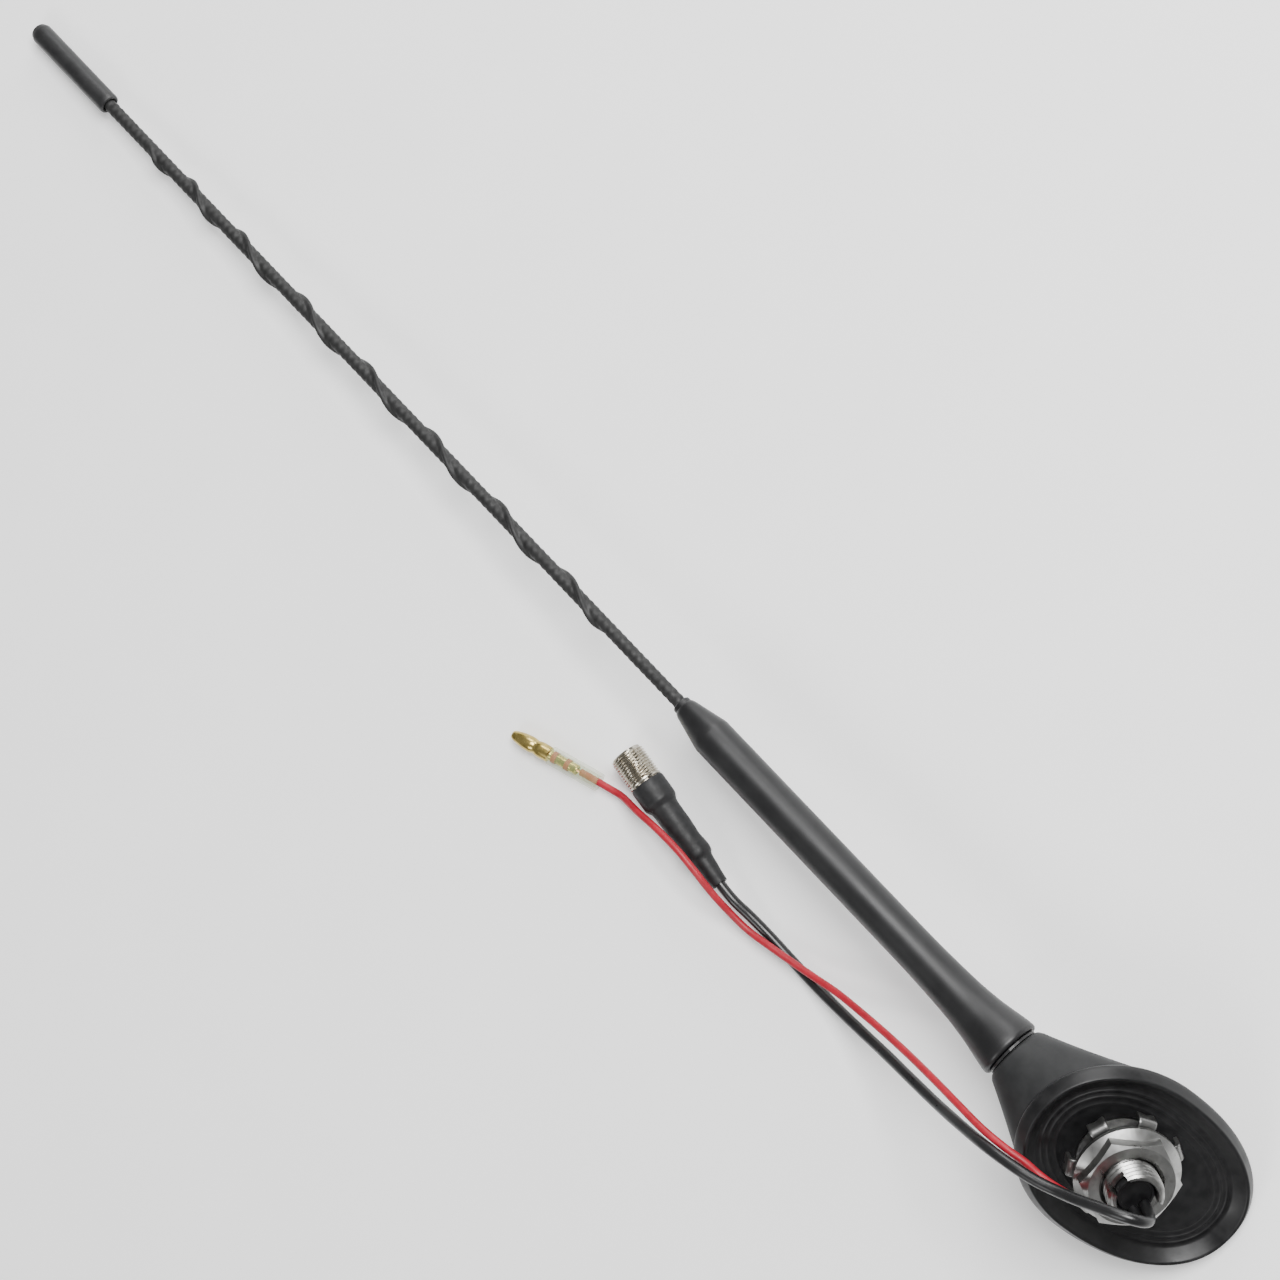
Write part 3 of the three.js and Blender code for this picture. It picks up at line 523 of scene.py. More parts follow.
LOOKS = {
    # Spark-eroded dark grey nylon: a dry, even grain.
    "shell": plain_look(
        "shell_plastic", ((0.01, 0.0105, 0.011), (0.015, 0.0155, 0.016), 3), (0.52, 0.64, 6),
        [(0.3, 2, 0.025, 0.4), (9, 2, 0.04, 0.2)], Specular_IOR_Level=0.32),
    # Moulded rubber, a little glossy, with faint flow marks.
    "foot": plain_look(
        "foot_rubber", ((0.0035, 0.0035, 0.004), (0.008, 0.008, 0.0085), 2.5), (0.34, 0.5, 5),
        [(0.6, 3, 0.02, 0.4), (6, 2, 0.08, 0.3)], Specular_IOR_Level=0.38),
    # The handle's satin rubber.
    "grip": plain_look(
        "grip_rubber", ((0.006, 0.006, 0.0065), (0.01, 0.01, 0.0105), 5), (0.36, 0.46, 7),
        [(0.4, 2, 0.012, 0.4), (8, 1, 0.06, 0.2)], stretch=(0.35, 1, 1), Specular_IOR_Level=0.42),
    # The whip's matt sleeve.
    "whip": plain_look(
        "whip_rubber", ((0.009, 0.009, 0.009), (0.017, 0.017, 0.017), 1.2), (0.5, 0.66, 2),
        [(0.35, 3, 0.04, 0.5)], Specular_IOR_Level=0.4),
    "cap": plain_look(
        "cap_plastic", ((0.008, 0.008, 0.0085), (0.014, 0.014, 0.0145), 2), (0.38, 0.52, 3),
        [(0.35, 3, 0.02, 0.4)], stretch=(0.3, 1, 1)),
    # The coax's smooth jacket.
    "lead": plain_look(
        "lead_plastic", ((0.006, 0.006, 0.0065), (0.01, 0.01, 0.0105), 4), (0.26, 0.38, 3),
        [(0.9, 2, 0.02, 0.35)]),
    # Heat-shrunk sleeving: dull satin, with soft puckers.
    "shrink": plain_look(
        "shrink_plastic", ((0.006, 0.006, 0.0065), (0.012, 0.012, 0.0125), 1.8), (0.48, 0.62, 1.5),
        [(1.4, 2, 0.05, 0.4)], Specular_IOR_Level=0.36),
    "nut": zinc("bright_zinc", 0.33, 0.27),
    "claws": zinc("dull_zinc", 0.22, 0.34),
    "die_cast": plain_look(
        "die_cast", ((0.3, 0.3, 0.3), (0.45, 0.45, 0.44), 1.5), (0.4, 0.6, 1),
        [(0.4, 4, 0.05, 0.5)], metallic=1.0),
    "steel": plain_look(
        "steel", ((0.36, 0.36, 0.37), (0.55, 0.55, 0.55), 0.9), (0.22, 0.42, 0.7),
        [(0.1, 2, 0.008, 0.5)], metallic=1.0),
    # The cut thread's plated steel, a little dark.
    "stud": plain_look(
        "stud_metal", ((0.2, 0.2, 0.195), (0.34, 0.34, 0.33), 2), (0.26, 0.36, 1.5),
        [(2, 1, 0.005, 0.2)], metallic=1.0),
    # Deep yellow, slightly tarnished.
    "brass": plain_look(
        "brass", ((0.4, 0.3, 0.085), (0.6, 0.47, 0.16), 2), (0.2, 0.3, 1.5),
        [(1.5, 1, 0.004, 0.2)], metallic=1.0),
    "nickel": nickel(),
    "copper": plain_look(
        "copper", ((0.75, 0.34, 0.14), (0.86, 0.5, 0.25), 0.6), (0.24, 0.42, 0.4),
        [(0.1, 2, 0.01, 0.4)], metallic=1.0),
    "board": green_board(),
    # The power wire's crimson insulation.
    "red": plain_look(
        "red_vinyl", ((0.3, 0.006, 0.017), (0.38, 0.009, 0.024), 3), (0.36, 0.5, 2),
        [(0.25, 2, 0.012, 0.45)], Specular_IOR_Level=0.38),
    # The bullet's slide-on cover: see-through, cloudy and a little green.
    "milky": plain_look(
        "milky_vinyl", ((0.36, 0.44, 0.17), (0.46, 0.55, 0.25), 1.5), (0.24, 0.36, 1.2),
        [(0.9, 2, 0.03, 0.3)], Alpha=0.17),
    "white": plain_look(
        "white_plastic", ((0.62, 0.6, 0.54), (0.75, 0.73, 0.67), 1.5), (0.35, 0.5, 1),
        [(0.3, 2, 0.015, 0.4)]),
}


def place_piece(piece, body, slot, *replaced):
    """Names the body that a piece rides on and the CAD nodes it stands for. slot: not used."""
    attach(piece, body)
    if replaced:
        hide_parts(*replaced)
    return piece


# ---- Leads ----
def between_knots(four, knots, t):
    """One point of a centripetal curve between the middle two of four points."""
    level = list(four)
    for width in (1, 2):
        level = [
            level[i].lerp(level[i + 1], (t - knots[i]) / (knots[i + width] - knots[i]))
            for i in range(4 - width)
        ]
    share = (t - knots[1]) / (knots[2] - knots[1])
    return level[0].lerp(level[1], share)


def smooth_route(route, steps=10):
    """A centripetal curve through the route's points, as a finer list of points."""
    points = [Vector(point) for point in route]
    points = [2 * points[0] - points[1], *points, 2 * points[-1] - points[-2]]
    fine = []
    for i in range(1, len(points) - 2):
        four = points[i - 1:i + 3]
        knots = [0.0]
        for a, b in zip(four, four[1:]):
            knots.append(knots[-1] + math.sqrt((b - a).length))
        for k in range(steps):
            t = knots[1] + (knots[2] - knots[1]) * k / steps
            fine.append(between_knots(four, knots, t))
    fine.append(points[-2])
    return fine


def smooth_outline(points, steps):
    """An outline's points with a smooth curve run through them."""
    fine = smooth_route([(x, y, 0) for x, y in points], steps)
    return [(point.x, point.y) for point in fine]


def even_route(fine, spacing):
    """The same line with points at even spacing."""
    total = sum((b - a).length for a, b in zip(fine, fine[1:]))
    count = round(total / spacing)
    stride = total / count
    even = [fine[0]]
    travelled = 0.0
    for a, b in zip(fine, fine[1:]):
        step = (b - a).length
        while len(even) < count and stride * len(even) <= travelled + step:
            even.append(a.lerp(b, (stride * len(even) - travelled) / step))
        travelled += step
    even.append(fine[-1])
    return even, total


def tube_rings(path, sides, radius_at):
    """Rings round a path, in its own unit, that turn with it and don't twist."""
    rings = []
    across = None
    for i, point in enumerate(path):
        ahead = path[min(i + 1, len(path) - 1)] - path[max(i - 1, 0)]
        ahead.normalize()
        if across is None:
            across = ahead.orthogonal().normalized()
        across = (across - ahead * across.dot(ahead)).normalized()
        side = ahead.cross(across)
        radius = radius_at(i)
        ring = []
        for k in range(sides):
            angle = TURN * k / sides
            ring.append(point + (across * math.cos(angle) + side * math.sin(angle)) * radius)
        rings.append(ring)
    return rings


def make_lead(name, route, look, spacing_mm, radius_at):
    """A lead along its route, as a tube of its real thickness; gives back its path and its real length.
    """
    path, total = even_route(smooth_route(route), spacing_mm * MM)
    bm = skin(tube_rings(path, LEAD_SIDES, lambda ring: radius_at(ring) * MM), loop=False)
    bmesh.ops.recalc_face_normals(bm, faces=bm.faces)
    for face in bm.faces:
        face.smooth = len(face.verts) == 4
    mesh = bpy.data.meshes.new(name)
    bm.to_mesh(mesh)
    bm.free()
    mesh.materials.append(look)
    piece = bpy.data.objects.new(name, mesh)
    bpy.context.scene.collection.objects.link(piece)
    return piece, path, total


make_camera()
make_studio()
floor_paper = plain_look(
    "floor_paper", ((0.93, 0.93, 0.93), (0.95, 0.95, 0.95), 40), (0.8, 0.9, 20), [],
    Emission_Color=(1, 1, 1, 1), Emission_Strength=0.2)
make_floor(floor_paper)


def coax_radius(ring):
    """The jacket's radius, with a slow swell along its length."""
    swell, rate = 0.012, 0.37
    return COAX_RADIUS + swell * math.sin(ring * rate)


def wire_radius(ring):
    """The insulation's radius, finely ribbed: every other ring is drawn in."""
    rib = 0.03
    return WIRE_RADIUS - rib * (ring % 2)


coax, coax_path, coax_length = make_lead("coax_lead", COAX_ROUTE, LOOKS["lead"], 0.8, coax_radius)
wire, wire_path, wire_length = make_lead("red_wire", WIRE_ROUTE, LOOKS["red"], 0.28, wire_radius)
place_piece(coax, "base", "black_plastic", "coax_cable")
place_piece(wire, "base", "red_pvc", "power_wire")


# ---- Base ----
def foot_point(angle, inset):
    """A point of the foot's oval outline at an angle about its centre, drawn in by an inset."""
    cos, sin = math.cos(angle), math.sin(angle)
    ahead = cos > 0
    power = 2 / (FOOT["front_power"] if ahead else FOOT["rear_power"])
    reach = (FOOT["front"] if ahead else FOOT["rear"]) - inset
    x = FOOT["centre"] + math.copysign(reach * abs(cos) ** power, cos)
    y = math.copysign((FOOT["side"] - inset) * abs(sin) ** power, sin)
    return x, y


FOOT_SIDES = 200
FOOT_ANGLES = [TURN * (k + 0.5) / FOOT_SIDES for k in range(FOOT_SIDES)]
ON_MAST = Matrix.Translation((MAST_FOOT_X, 0, 0)) @ Matrix.Rotation(-MAST_LEAN, 4, "Y")


def foot_ring(inset, height):
    return [Vector((*foot_point(angle, inset), height)) for angle in FOOT_ANGLES]


def neck_ring(radius, height):
    """A circle on the mast's axis."""
    return [ON_MAST @ Vector((radius * math.cos(a), radius * math.sin(a), height)) for a in FOOT_ANGLES]


def hole_ring(radius, height):
    return [Vector((radius * math.cos(a), radius * math.sin(a), height)) for a in FOOT_ANGLES]


def loft(low, high, shares):
    return [[a.lerp(b, share) for a, b in zip(low, high)] for share in shares]


def make_shell():
    """The hollow cone from the oval foot to the mast's neck, with a soft edge at each end."""
    foot, inset, wall = SHELL["foot"], SHELL["inset"], SHELL["wall"]
    neck, hole = SHELL["neck"], SHELL["hole"]
    outer_shares = [0.004 + i * 0.04 for i in range(25)]
    inner_shares = [i / 12 for i in range(13)]
    outer = loft(foot_ring(inset, foot), neck_ring(neck, NECK), outer_shares)
    inner = loft(neck_ring(neck - wall, NECK - 2.4), foot_ring(inset + wall, foot), inner_shares)
    rounding = ((neck - 0.12, 0.35), (neck - 0.4, 0.08), (neck - 0.9, 0))
    rim = [neck_ring(radius, NECK - drop) for radius, drop in rounding]
    rounding = ((hole + 0.3, 0), (hole, 0.3), (hole, 2.3))
    mouth = [neck_ring(radius, NECK - drop) for radius, drop in rounding]
    edge = [foot_ring(inset + 0.5, foot), foot_ring(inset + 0.12, foot + 0.02)]
    shell = make_object("base_cone", skin([*outer, *rim, *mouth, *inner, *edge]), ROOF, LOOKS["shell"])
    return place_piece(shell, "base", "shell_plastic", "base_shell")


def make_gasket():
    """The rubber foot: a skirt that narrows to a lip, an inner bevel, fine ribs and a flat floor."""
    top, floor, inset, hole = GASKET["top"], GASKET["floor"], GASKET["inset"], GASKET["hole"]
    lip, inner_lip, bevel_foot = (GASKET_LIP[k] for k in ("outer", "inner", "bevel_foot"))
    skirt = [(lip + 0.2, 0.0), (lip, 0.15), (lip - 0.15, 0.4), (0.95, 1.2), (0.4, 2.1), (0.05, 2.9)]
    skirt += [(0.0, 3.2), (0.2, 3.7), (0.6, 4.1), (1.1, top), (inset, top)]
    rings = [foot_ring(*point) for point in skirt]
    rings += [hole_ring(hole, top), hole_ring(hole, floor + 0.2), hole_ring(hole + 0.2, floor)]
    rings.append(foot_ring(inset + 2.6, floor))
    for middle, tall in RIBS["places"]:
        for share in (1.0, 0.6, 0.25, -0.25, -0.6, -1.0):
            height = floor - tall * math.cos(share * math.pi / 2)
            rings.append(foot_ring(middle + RIBS["half"] * share, height))
    for share in (0.0, 0.1, 0.35, 0.65, 0.9, 1.0):
        bulge = 0.12 * math.sin(share * math.pi)
        drawn_in = bevel_foot + (inner_lip - bevel_foot) * share
        rings.append(foot_ring(drawn_in, floor * (1 - share) + bulge))
    gasket = make_object("foot_gasket", skin(rings), ROOF, LOOKS["foot"], sharp_degrees=50)
    return place_piece(gasket, "base", "rubber", "rim_gasket")


def make_stud():
    """The hollow stud with its real thread, a head inside the base and a slot across its end."""
    major, minor, pitch = STUD["major"], STUD["minor"], STUD["pitch"]
    bore, end, neck = STUD["bore"], STUD["end"], STUD["neck"]
    sharp, outside = 40, 10
    shown = [(major, z) for z in spaced(end + 0.5, neck, 0.15)]
    outline = [(bore + 0.25, end), (minor - 0.35, end), *shown]
    outline += [(major, STUD_HEAD["foot"]), (STUD_HEAD["radius"], STUD_HEAD["foot"])]
    outline += [(STUD_HEAD["radius"], STUD_HEAD["top"]), (bore, STUD_HEAD["top"]), (bore, end + 0.25)]

    def shape(angle, radius, height):
        if radius == major and height <= neck:
            return thread_reach(angle, height, major, minor, pitch, end - 0.4, neck + 0.4)
        return radius

    bm = turned(outline, sides=96, shape=shape)
    stud = make_object("threaded_stud", bm, ROOF, LOOKS["stud"], sharp)
    half = STUD_SLOT["width"] / 2
    slot = box_mesh("slot", (-outside, -half, end - 1), (outside, half, end + STUD_SLOT["depth"]), ROOF)
    cut(stud, slot, sharp)
    return place_piece(stud, "base", "steel", "hollow_stud")


def make_gland():
    """The rubber plug in the stud, dished round the two leads."""
    radius, inner, outer = GLAND["radius"], GLAND["inner"], GLAND["outer"]
    outline = rounded([(radius, inner), (radius, outer), (radius - 0.9, outer)], 0.3)
    dish = [(3.4, outer + 0.35), (2.2, outer + 0.6), (1.0, outer + 0.5), (0, outer + 0.45)]

    def shape(angle, reach, height):
        return reach + 0.05 * math.sin(5 * angle) * (height < outer + 1)

    bm = turned([(0, inner), *outline, *dish], sides=48, shape=shape)
    plug = make_object("lead_plug", bm, ROOF, LOOKS["foot"])
    return place_piece(plug, "base", "rubber", "cable_gland")


def make_boot():
    """A guessed rubber spout round the root of the power wire."""
    root = wire_path[:BOOT["rings"]]
    bm = skin(tube_rings(root, LEAD_SIDES, lambda ring: BOOT["radius"] * MM), loop=False)
    boot = make_object("wire_boot", bm, Matrix.Identity(4), LOOKS["lead"])
    return place_piece(boot, "base", "rubber")


def hex_ring(height_at):
    """Points round the nut's hexagon, each at a height that goes with its radius."""
    ring = []
    sides, sixth = NUT_CUT["sides"], math.pi / 3
    for k in range(sides):
        angle = TURN * k / sides
        reach = NUT["flats"] / 2 / math.cos(angle % sixth - sixth / 2)
        turned_angle = angle + NUT["turn"]
        ring.append((reach * math.cos(turned_angle), reach * math.sin(turned_angle), height_at(reach)))
    return ring


def round_ring(radius, height):
    """A circle with as many points as the hexagon's ring, in step with it."""
    angles = [NUT["turn"] + TURN * k / NUT_CUT["sides"] for k in range(NUT_CUT["sides"])]
    return [(radius * math.cos(angle), radius * math.sin(angle), height) for angle in angles]


def make_nut():
    """The hexagon nut, scalloped by its chamfer, with a sloping round flange and a tapped bore."""
    top, end, flange, bore = NUT["top"], NUT["end"], NUT["flange"], NUT["bore"]
    flat, sharp = NUT["flats"] / 2, 28
    outline = [(bore, end + 0.75), (bore + 0.7, end + 0.05), (bore + 0.9, end), (flat - 0.3, end)]
    outline += [(flange, end + NUT_CUT["chamfer"]), (flange, top - 0.3), (flange - 0.3, top)]
    outline += [(bore + 0.5, top), (bore, top - 0.5)]
    nut = make_object("roof_nut", turned(outline, sides=120), ROOF, LOOKS["nut"], sharp)
    below, outside = end - 1, NUT_CUT["reach"]

    def slope(radius):
        return top - NUT_CUT["seat"] + (radius - flat) * NUT_CUT["slope"]

    rings = [hex_ring(lambda radius: below), hex_ring(slope)]
    rings += [round_ring(outside, slope(outside)), round_ring(outside, below)]
    cutter = make_object("outside", skin(rings), ROOF, LOOKS["nut"])
    cut(nut, cutter, sharp)
    soften(nut, NUT_CUT["bevel"], sharp_degrees=35)
    return place_piece(nut, "nut", "zinc", "flange_nut")


def claw_rings(index):
    """One claw: a strip that leaves the ring, bends up and ends in a notch."""
    sheet, half, reach, top = CLAWS["sheet"], CLAWS["width"] / 2, CLAWS["reach"], CLAWS["top"]
    tip, bend, notch_reach = CLAW["tip"], CLAW["bend"], CLAW["notch_reach"]
    line = [(CLAWS["ring"] - 1.2, top - sheet / 2, 0.0)]
    turn_x, turn_z = reach - sheet / 2 - bend, top - sheet / 2 + bend
    for i in range(7):
        lean = math.pi / 2 * i / 6
        line.append((turn_x + bend * math.sin(lean), turn_z - bend * math.cos(lean), lean))
    line += [(reach - sheet / 2, z, math.pi / 2) for z in spaced(turn_z, tip, 0.4)[1:]]
    spin = Matrix.Rotation(math.radians(CLAWS["first"] + index * 360 / CLAWS["count"]), 4, "Z")
    columns = [-1, -0.94, -0.7, -0.45, -0.2, 0, 0.2, 0.45, 0.7, 0.94, 1]
    rings = []
    for k, (x, z, lean) in enumerate(line):
        thick = sheet / 2 - (0.12 if k == len(line) - 1 else 0)
        front, back = [], []
        for share in columns:
            notch = max(0.0, 1 - abs(share) / 0.5) * CLAW["notch"]
            lower = min(1.0, max(0.0, (z - (tip - notch_reach)) / notch_reach)) * notch
            edge = thick - (0.1 if abs(share) == 1 else 0)
            offset = Vector((math.sin(lean), 0, -math.cos(lean))) * edge
            middle = Vector((x, share * half, z - lower * math.sin(lean)))
            front.append(spin @ (middle + offset))
            back.append(spin @ (middle - offset))
        rings.append(front + back[::-1])
    return rings


def make_claws():
    """The spring washer: a flat ring with bent-up claws that bite into the roof's underside."""
    low, high = CLAWS["top"] - CLAWS["sheet"], CLAWS["top"]
    outline = [(NUT["bore"], low), (CLAWS["ring"], low), (CLAWS["ring"], high), (NUT["bore"], high)]
    bm = turned(rounded(outline, 0.2, steps=3), sides=112)
    for index in range(CLAWS["count"]):
        add_bmesh(bm, skin(claw_rings(index), loop=False))
    washer = make_object("claw_ring", bm, ROOF, LOOKS["claws"], sharp_degrees=38)
    return place_piece(washer, "washer", "zinc", "claw_washer")


# ---- Mast ----
def make_grip():
    """The moulded handle: a flared foot, a long slim shaft, then a cone and a collar."""
    radius, cavity, collar = GRIP["radius"], GRIP["cavity"], GRIP["collar"]
    waist = [(GRIP["foot"], 1.0), (8.2, 2.4), (7.85, 4.4), (7.35, 7.0), (6.85, 9.8), (6.45, 12.8)]
    waist += [(6.1, 16), (5.8, 21), (5.6, 26), (5.46, 31), (radius, 36)]
    shaft = [(r, GRIP_FOOT + z) for r, z in smooth_outline(waist, steps=5)]
    cone_foot = GRIP_TOP - GRIP["cone"]
    shaft += [(radius, z) for z in spaced(GRIP_FOOT + 40, cone_foot - 0.8, 6)]
    shaft += [(radius - 0.05, cone_foot - 0.2), (radius - 0.25, cone_foot + 0.7)]
    shaft += [(collar + 0.55, GRIP_TOP - 2.3), (collar + 0.25, GRIP_TOP - 1.55)]
    shaft += [(collar, GRIP_TOP - 1.3), (collar - 0.06, GRIP_TOP - 0.25)]
    shaft += [(collar - 0.25, GRIP_TOP), (CAP["bore"], GRIP_TOP)]
    top = GRIP["cavity_top"]
    inside = [(CAP["bore"], top), (cavity, top), (cavity, GRIP_FOOT)]
    foot = [(7.6, GRIP_FOOT), (8.0, GRIP_FOOT + 0.1), (8.28, GRIP_FOOT + 0.45)]
    bm = turned([*foot, *shaft, *inside], sides=96)
    grip = make_object("handle", bm, MAST, LOOKS["grip"])
    return place_piece(grip, "mast", "rubber", "grip")


def bead_angle(distance):
    pitch = BEAD["tight"] if distance > BEAD["change"] else BEAD["open"]
    return -math.pi / 2 + TURN * (distance - BEAD["change"]) / pitch


def bead_reach(off_angle, fade):
    """The bead's surface: a round cord laid on the rod, blended into it."""
    centre = ROD["radius"] - BEAD["radius"] + 0.85 * fade
    sideways = centre * math.sin(off_angle)
    inside = BEAD["radius"] ** 2 - sideways ** 2
    if math.cos(off_angle) <= 0 or inside <= 0:
        return 0.0
    return centre * math.cos(off_angle) + math.sqrt(inside)


def soft_max(first, second, softness):
    """The larger of two values, with a rounded change from one to the other."""
    share = max(0.0, min(1.0, 0.5 + 0.5 * (first - second) / softness))
    return second + (first - second) * share + softness * share * (1 - share)


def whip_shape(angle, radius, height):
    """The rod's radius with the winding's faint ripple under the skin and the spiral bead on it."""
    distance = height - GRIP_FOOT
    ripple = 0.07 * math.sin(TURN * height / 2.2 - angle)
    uneven = 0.05 * wrinkle(math.cos(angle), math.sin(angle), height * 0.8, 1.3)
    reach = radius + ripple - 0.07 + uneven * 0.6
    if BEAD["foot"] < distance < BEAD["top"]:
        fade = min(1.0, (distance - BEAD["foot"]) / 5, (BEAD["top"] - distance) / 5)
        off_angle = (angle - bead_angle(distance) + math.pi) % TURN - math.pi
        reach = soft_max(bead_reach(off_angle, fade) + uneven, reach, 0.35)
    return reach


def make_whip():
    """The sleeve from the handle's mouth into the tip cap, with its bead; its bore stays plain."""
    foot, top = FERRULE_MOUTH + 0.3, MAST_TIP - CAP["length"] + CAP["depth"] - 0.3
    step = 0.36
    outline = [(ROD["bore"], foot), *[(ROD["radius"], z) for z in spaced(foot, top, step)]]
    outline.append((ROD["bore"], top))

    def shape(angle, radius, height):
        return whip_shape(angle, radius, height) if radius == ROD["radius"] else radius

    bm = turned(outline, sides=36, shape=shape)
    whip = make_object("whip", bm, MAST, LOOKS["whip"], sharp_degrees=60)
    return place_piece(whip, "mast", "black_plastic", "whip_sleeve")


def make_cap():
    """The tip cap: a plain tube with a rounded mouth and a bevelled blunt end."""
    length, radius, bore = CAP["length"], CAP["radius"], CAP["bore"]
    foot = MAST_TIP - length
    outline = [(0, foot + CAP["depth"]), (bore, foot + CAP["depth"]), (bore, foot + 0.3)]
    outline += [(bore + 0.2, foot), (radius - 0.45, foot), (radius - 0.12, foot + 0.25)]
    outline.append((radius, foot + 0.8))
    outline += [(radius, z) for z in spaced(foot + 2, MAST_TIP - 2.2, 2)]
    outline += [(radius - 0.06, MAST_TIP - 1.9), (radius - 0.5, MAST_TIP - 0.8)]
    outline += [(radius - 0.62, MAST_TIP - 0.55), (radius - 1.25, MAST_TIP - 0.04)]
    outline += [(radius - 1.5, MAST_TIP), (0, MAST_TIP)]

    def shape(angle, reach, height):
        return reach * (1 + 0.008 * wrinkle(math.cos(angle), math.sin(angle), height / 6, 1.0))

    bm = turned(outline, sides=64, shape=shape)
    cap = make_object("tip_end", bm, MAST, LOOKS["cap"])
    return place_piece(cap, "mast", "black_plastic", "tip_cap")


# ---- Lead ends ----
def make_shrink():
    """The shrunk sleeve over the crimp and the socket's rear, puckered and a little uneven."""
    end, step, throat, inside = SLEEVE["end"], SLEEVE["step"], SLEEVE["throat"], SLEEVE["inner"]
    knots = [(2.2, 0), (2.3, 1.2), (2.45, 2.5), (2.65, 5), (3.0, 7.9), (3.6, 8.9), (3.82, 10.0)]
    knots += [(3.7, 11.6), (3.45, 14), (3.6, 16.2), (3.75, 18), (3.75, 21.5), (3.85, 25), (4.3, 25.9)]
    knots += [(4.72, 26.7), (4.82, 28), (4.8, 30), (4.82, end - 0.6), (4.72, end - 0.06)]
    outer = smooth_outline(knots, steps=4)
    bore, socket_bore = COAX_RADIUS + 0.3, 4.1
    inner = [(4.4, end), (4.15, end), (socket_bore, end - 0.3), (socket_bore, step), (inside, step)]
    inner += [(inside, throat), (bore, throat - 0.5), (bore, 0.0), (bore + 0.25, 0.0)]

    def shape(angle, radius, height):
        if (radius, height) in inner:
            return radius
        x, y = math.cos(angle), math.sin(angle)
        pucker = 0.09 * wrinkle(x * 1.1, y * 1.1, height * 0.22, 1.0)
        crease = 0.04 * wrinkle(x * 2.0, y * 2.0, height * 0.6 + 7, 1.0)
        edge = min(1.0, height / 2, (end - height) / 2)
        return min(radius + (pucker + crease) * max(0.15, edge), SLEEVE["most"])

    bm = turned([*outer, *inner], sides=64, shape=shape)
    sleeve = make_object("crimp_sleeve", bm, SOCKET_AXES, LOOKS["shrink"], sharp_degrees=40)
    return place_piece(sleeve, "base", "rubber", "socket_sleeve")


def make_socket():
    """The threaded socket with its open mouth and a chamfered, rolled front edge."""
    rear, barrel, mouth, front = SOCKET["rear"], SOCKET["barrel"], SOCKET["mouth"], SOCKET["front"]
    root = barrel - SOCKET["depth"]
    shoulder = SLEEVE["end"] + 0.3
    first, last = shoulder + 0.7, front - 0.6
    outline = [(1.2, 26.2), (rear, 26.2), (rear, shoulder), (barrel - 0.2, shoulder)]
    outline += [(barrel - 0.05, shoulder + 0.15), (barrel - 0.05, shoulder + 0.5)]
    outline += [(barrel, z) for z in spaced(first, last, 0.09)]
    outline += [(barrel - 0.5, front - 0.1), (barrel - 0.65, front), (mouth + 0.35, front)]
    outline += [(mouth, front - 0.35), (mouth, 28.2), (1.2, 28.2)]

    def shape(angle, radius, height):
        if radius == barrel:
            return thread_reach(angle, height, barrel, root, SOCKET["pitch"], first - 0.3, last + 0.5)
        return radius

    bm = turned(outline, sides=80, shape=shape)
    socket = make_object("threaded_socket", bm, SOCKET_AXES, LOOKS["nickel"], sharp_degrees=45)
    return place_piece(socket, "base", "nickel", "socket_body")


def make_insulator():
    """The white core in the mouth, stepped round the centre contact."""
    front, reach = SOCKET["front"] - 0.3, SOCKET["mouth"] - 0.3
    outline = [(1, 28.5), (reach, 28.5), (reach, front - 2.2), (2.1, front - 2.2), (2.1, front - 0.9)]
    outline += [(1, front - 0.9)]
    bm = turned(rounded(outline, 0.18), sides=56)
    core = make_object("socket_core", bm, SOCKET_AXES, LOOKS["white"])
    return place_piece(core, "base", "white_plastic", "socket_insulator")


def make_bullet():
    """The bullet: nose with a shallow waist, and a barrel crimped down on the wire."""
    barrel, foot, shoulder, tip = BULLET["barrel"], BULLET["foot"], BULLET["shoulder"], BULLET["tip"]
    bore, bore_top, crimp_top = 0.8, 12.4, 15
    knots = [(2.12, shoulder + 0.12), (2.18, shoulder + 1.2), (2.2, 18.5), (2.12, 19.4), (1.97, 20)]
    knots += [(1.95, 20.6), (2.05, 21.1), (2.15, 21.7), (2.14, 23.0), (2.02, 24.2), (1.82, 25.4)]
    knots += [(1.5, 26.8), (1.25, 27.5)]
    outline = [(bore, foot + 0.1), (barrel - 0.1, foot)]
    outline += [(barrel, z) for z in spaced(foot + 0.2, 15.2, 0.3)]
    outline += [(barrel + 0.1, 15.7), (2.0, shoulder), *smooth_outline(knots, steps=4)]
    outline += [(1.0, tip - 0.05), (0.6, tip), (0, tip - 0.1), (0, bore_top), (bore, bore_top)]

    def shape(angle, radius, height):
        if radius <= bore or height > crimp_top:
            return radius
        bite = math.exp(-((height - 13.6) / 1.0) ** 2) + math.exp(-((height - 8.6) / 0.8) ** 2)
        return radius * (1 - 0.16 * bite * max(0.0, math.cos(angle - 2.6)) ** 2)

    bm = turned(outline, sides=56, shape=shape)
    bullet = make_object("bullet_pin", bm, BULLET_AXES, LOOKS["brass"], sharp_degrees=34)
    return place_piece(bullet, "base", "brass", "bullet_terminal")


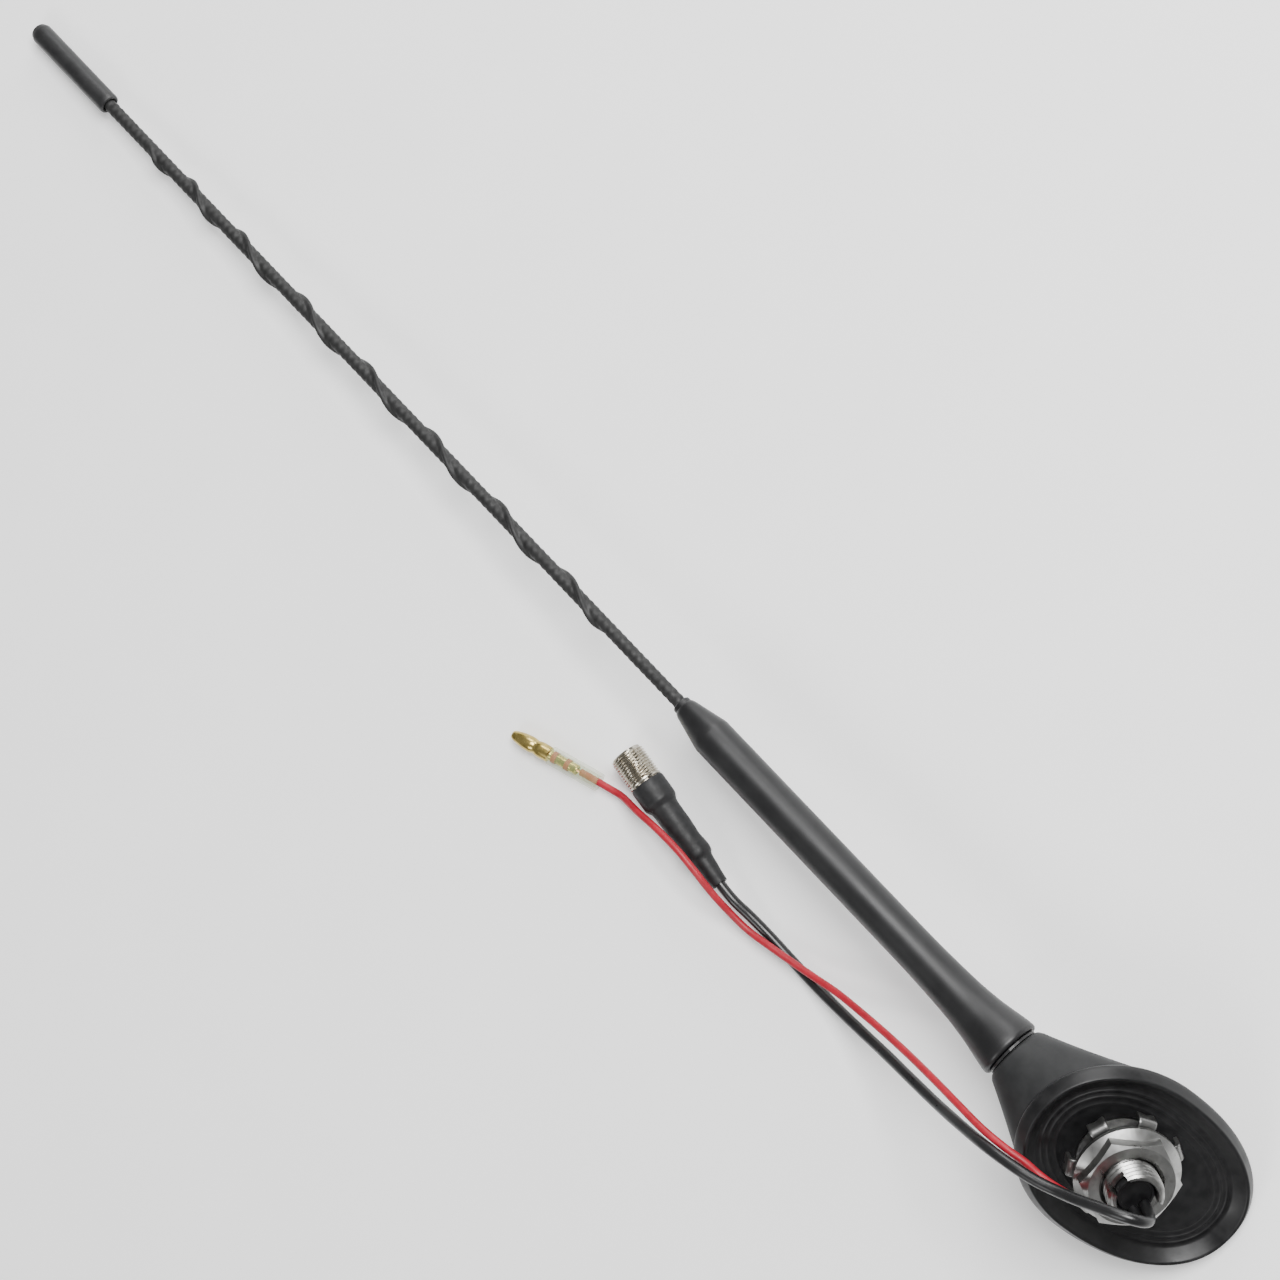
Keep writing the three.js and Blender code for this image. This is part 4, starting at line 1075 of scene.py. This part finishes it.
def make_cover():
    """The milky slide-on cover, a thin tube with softened ends and a slightly uneven wall."""
    radius, bore, length = COVER["radius"], COVER["bore"], COVER["length"]
    outline = rounded([(bore, 0), (radius, 0), (radius, length), (bore, length)], 0.15, steps=3)
    fine, long_stretch = [], 3
    for point, after in zip(outline, outline[1:] + outline[:1]):
        fine.append(point)
        if abs(after[1] - point[1]) > long_stretch:
            fine += [(point[0], z) for z in spaced(point[1], after[1], 0.8)[1:-1]]

    def shape(angle, reach, height):
        dent = 0.012 * wrinkle(math.cos(angle), math.sin(angle), height / 4, 1.0)
        return reach * (1 + min(dent, 0.0))

    bm = turned(fine, sides=56, shape=shape)
    cover = make_object("bullet_cover", bm, BULLET_AXES, LOOKS["milky"])
    return place_piece(cover, "terminal_cover", "milky_pvc", "bullet_sleeve")


def make_bands():
    """Two red rings on the bullet's barrel that show through the cover."""
    inside, outside = BULLET["barrel"] + BANDS["inner"], BULLET["barrel"] + BANDS["outer"]
    half = BANDS["half"]
    bm = bmesh.new()
    for middle in BANDS["places"]:
        outline = [(inside, middle - half), (outside, middle - half)]
        outline += [(outside, middle + half), (inside, middle + half)]
        add_bmesh(bm, turned(rounded(outline, 0.1), sides=40))
    bands = make_object("crimp_bands", bm, BULLET_AXES, LOOKS["red"])
    return place_piece(bands, "base", "red_pvc")


def make_strands():
    """The wire's bare strands, twisted together into the crimp."""
    bm = bmesh.new()
    count, offset = STRANDS["count"], STRANDS["offset"]
    for strand in range(count):
        path = []
        for z in spaced(STRANDS["foot"], STRANDS["end"], 0.25):
            angle = TURN * (strand / count + z / STRANDS["lay"])
            path.append(Vector((offset * math.cos(angle), offset * math.sin(angle), z)))
        add_bmesh(bm, skin(tube_rings(path, 8, lambda ring: STRANDS["radius"]), loop=False))
    strands = make_object("strands", bm, BULLET_AXES, LOOKS["copper"])
    return place_piece(strands, "base", "copper", "wire_strands")


make_shell()
make_gasket()
make_stud()
make_gland()
boot = make_boot()
make_nut()
make_claws()
make_grip()
make_whip()
make_cap()
shrink = make_shrink()
socket = make_socket()
core = make_insulator()
bullet = make_bullet()
cover = make_cover()
strands = make_strands()
bands = make_bands()

# ---- CAD nodes kept as they are, by the look each takes ----
CARRIED = {
    "die_cast": ["base_frame"],
    "white": ["neck_bush", "whip_core"],
    "nickel": ["mast_socket", "shield_can", "filter_capacitor", "crimp_ferrule"],
    "steel": [
        "mast_stem", "flex_spring", "shell_screw_1", "shell_screw_2", "board_screw_1", "board_screw_2",
    ],
    "board": ["amplifier_board"],
    "cap": ["amplifier_chip", "choke_coil"],
    "copper": ["feed_lead", "whip_winding"],
    "lead": ["coax_tail"],
    "red": ["power_tail"],
    "grip": ["mast_seal"],
    "brass": ["grip_ferrule", "socket_contact"],
}
for look, nodes in CARRIED.items():
    for node in nodes:
        data = frame["nodes"][node].data
        data.materials.clear()
        data.materials.append(LOOKS[look])
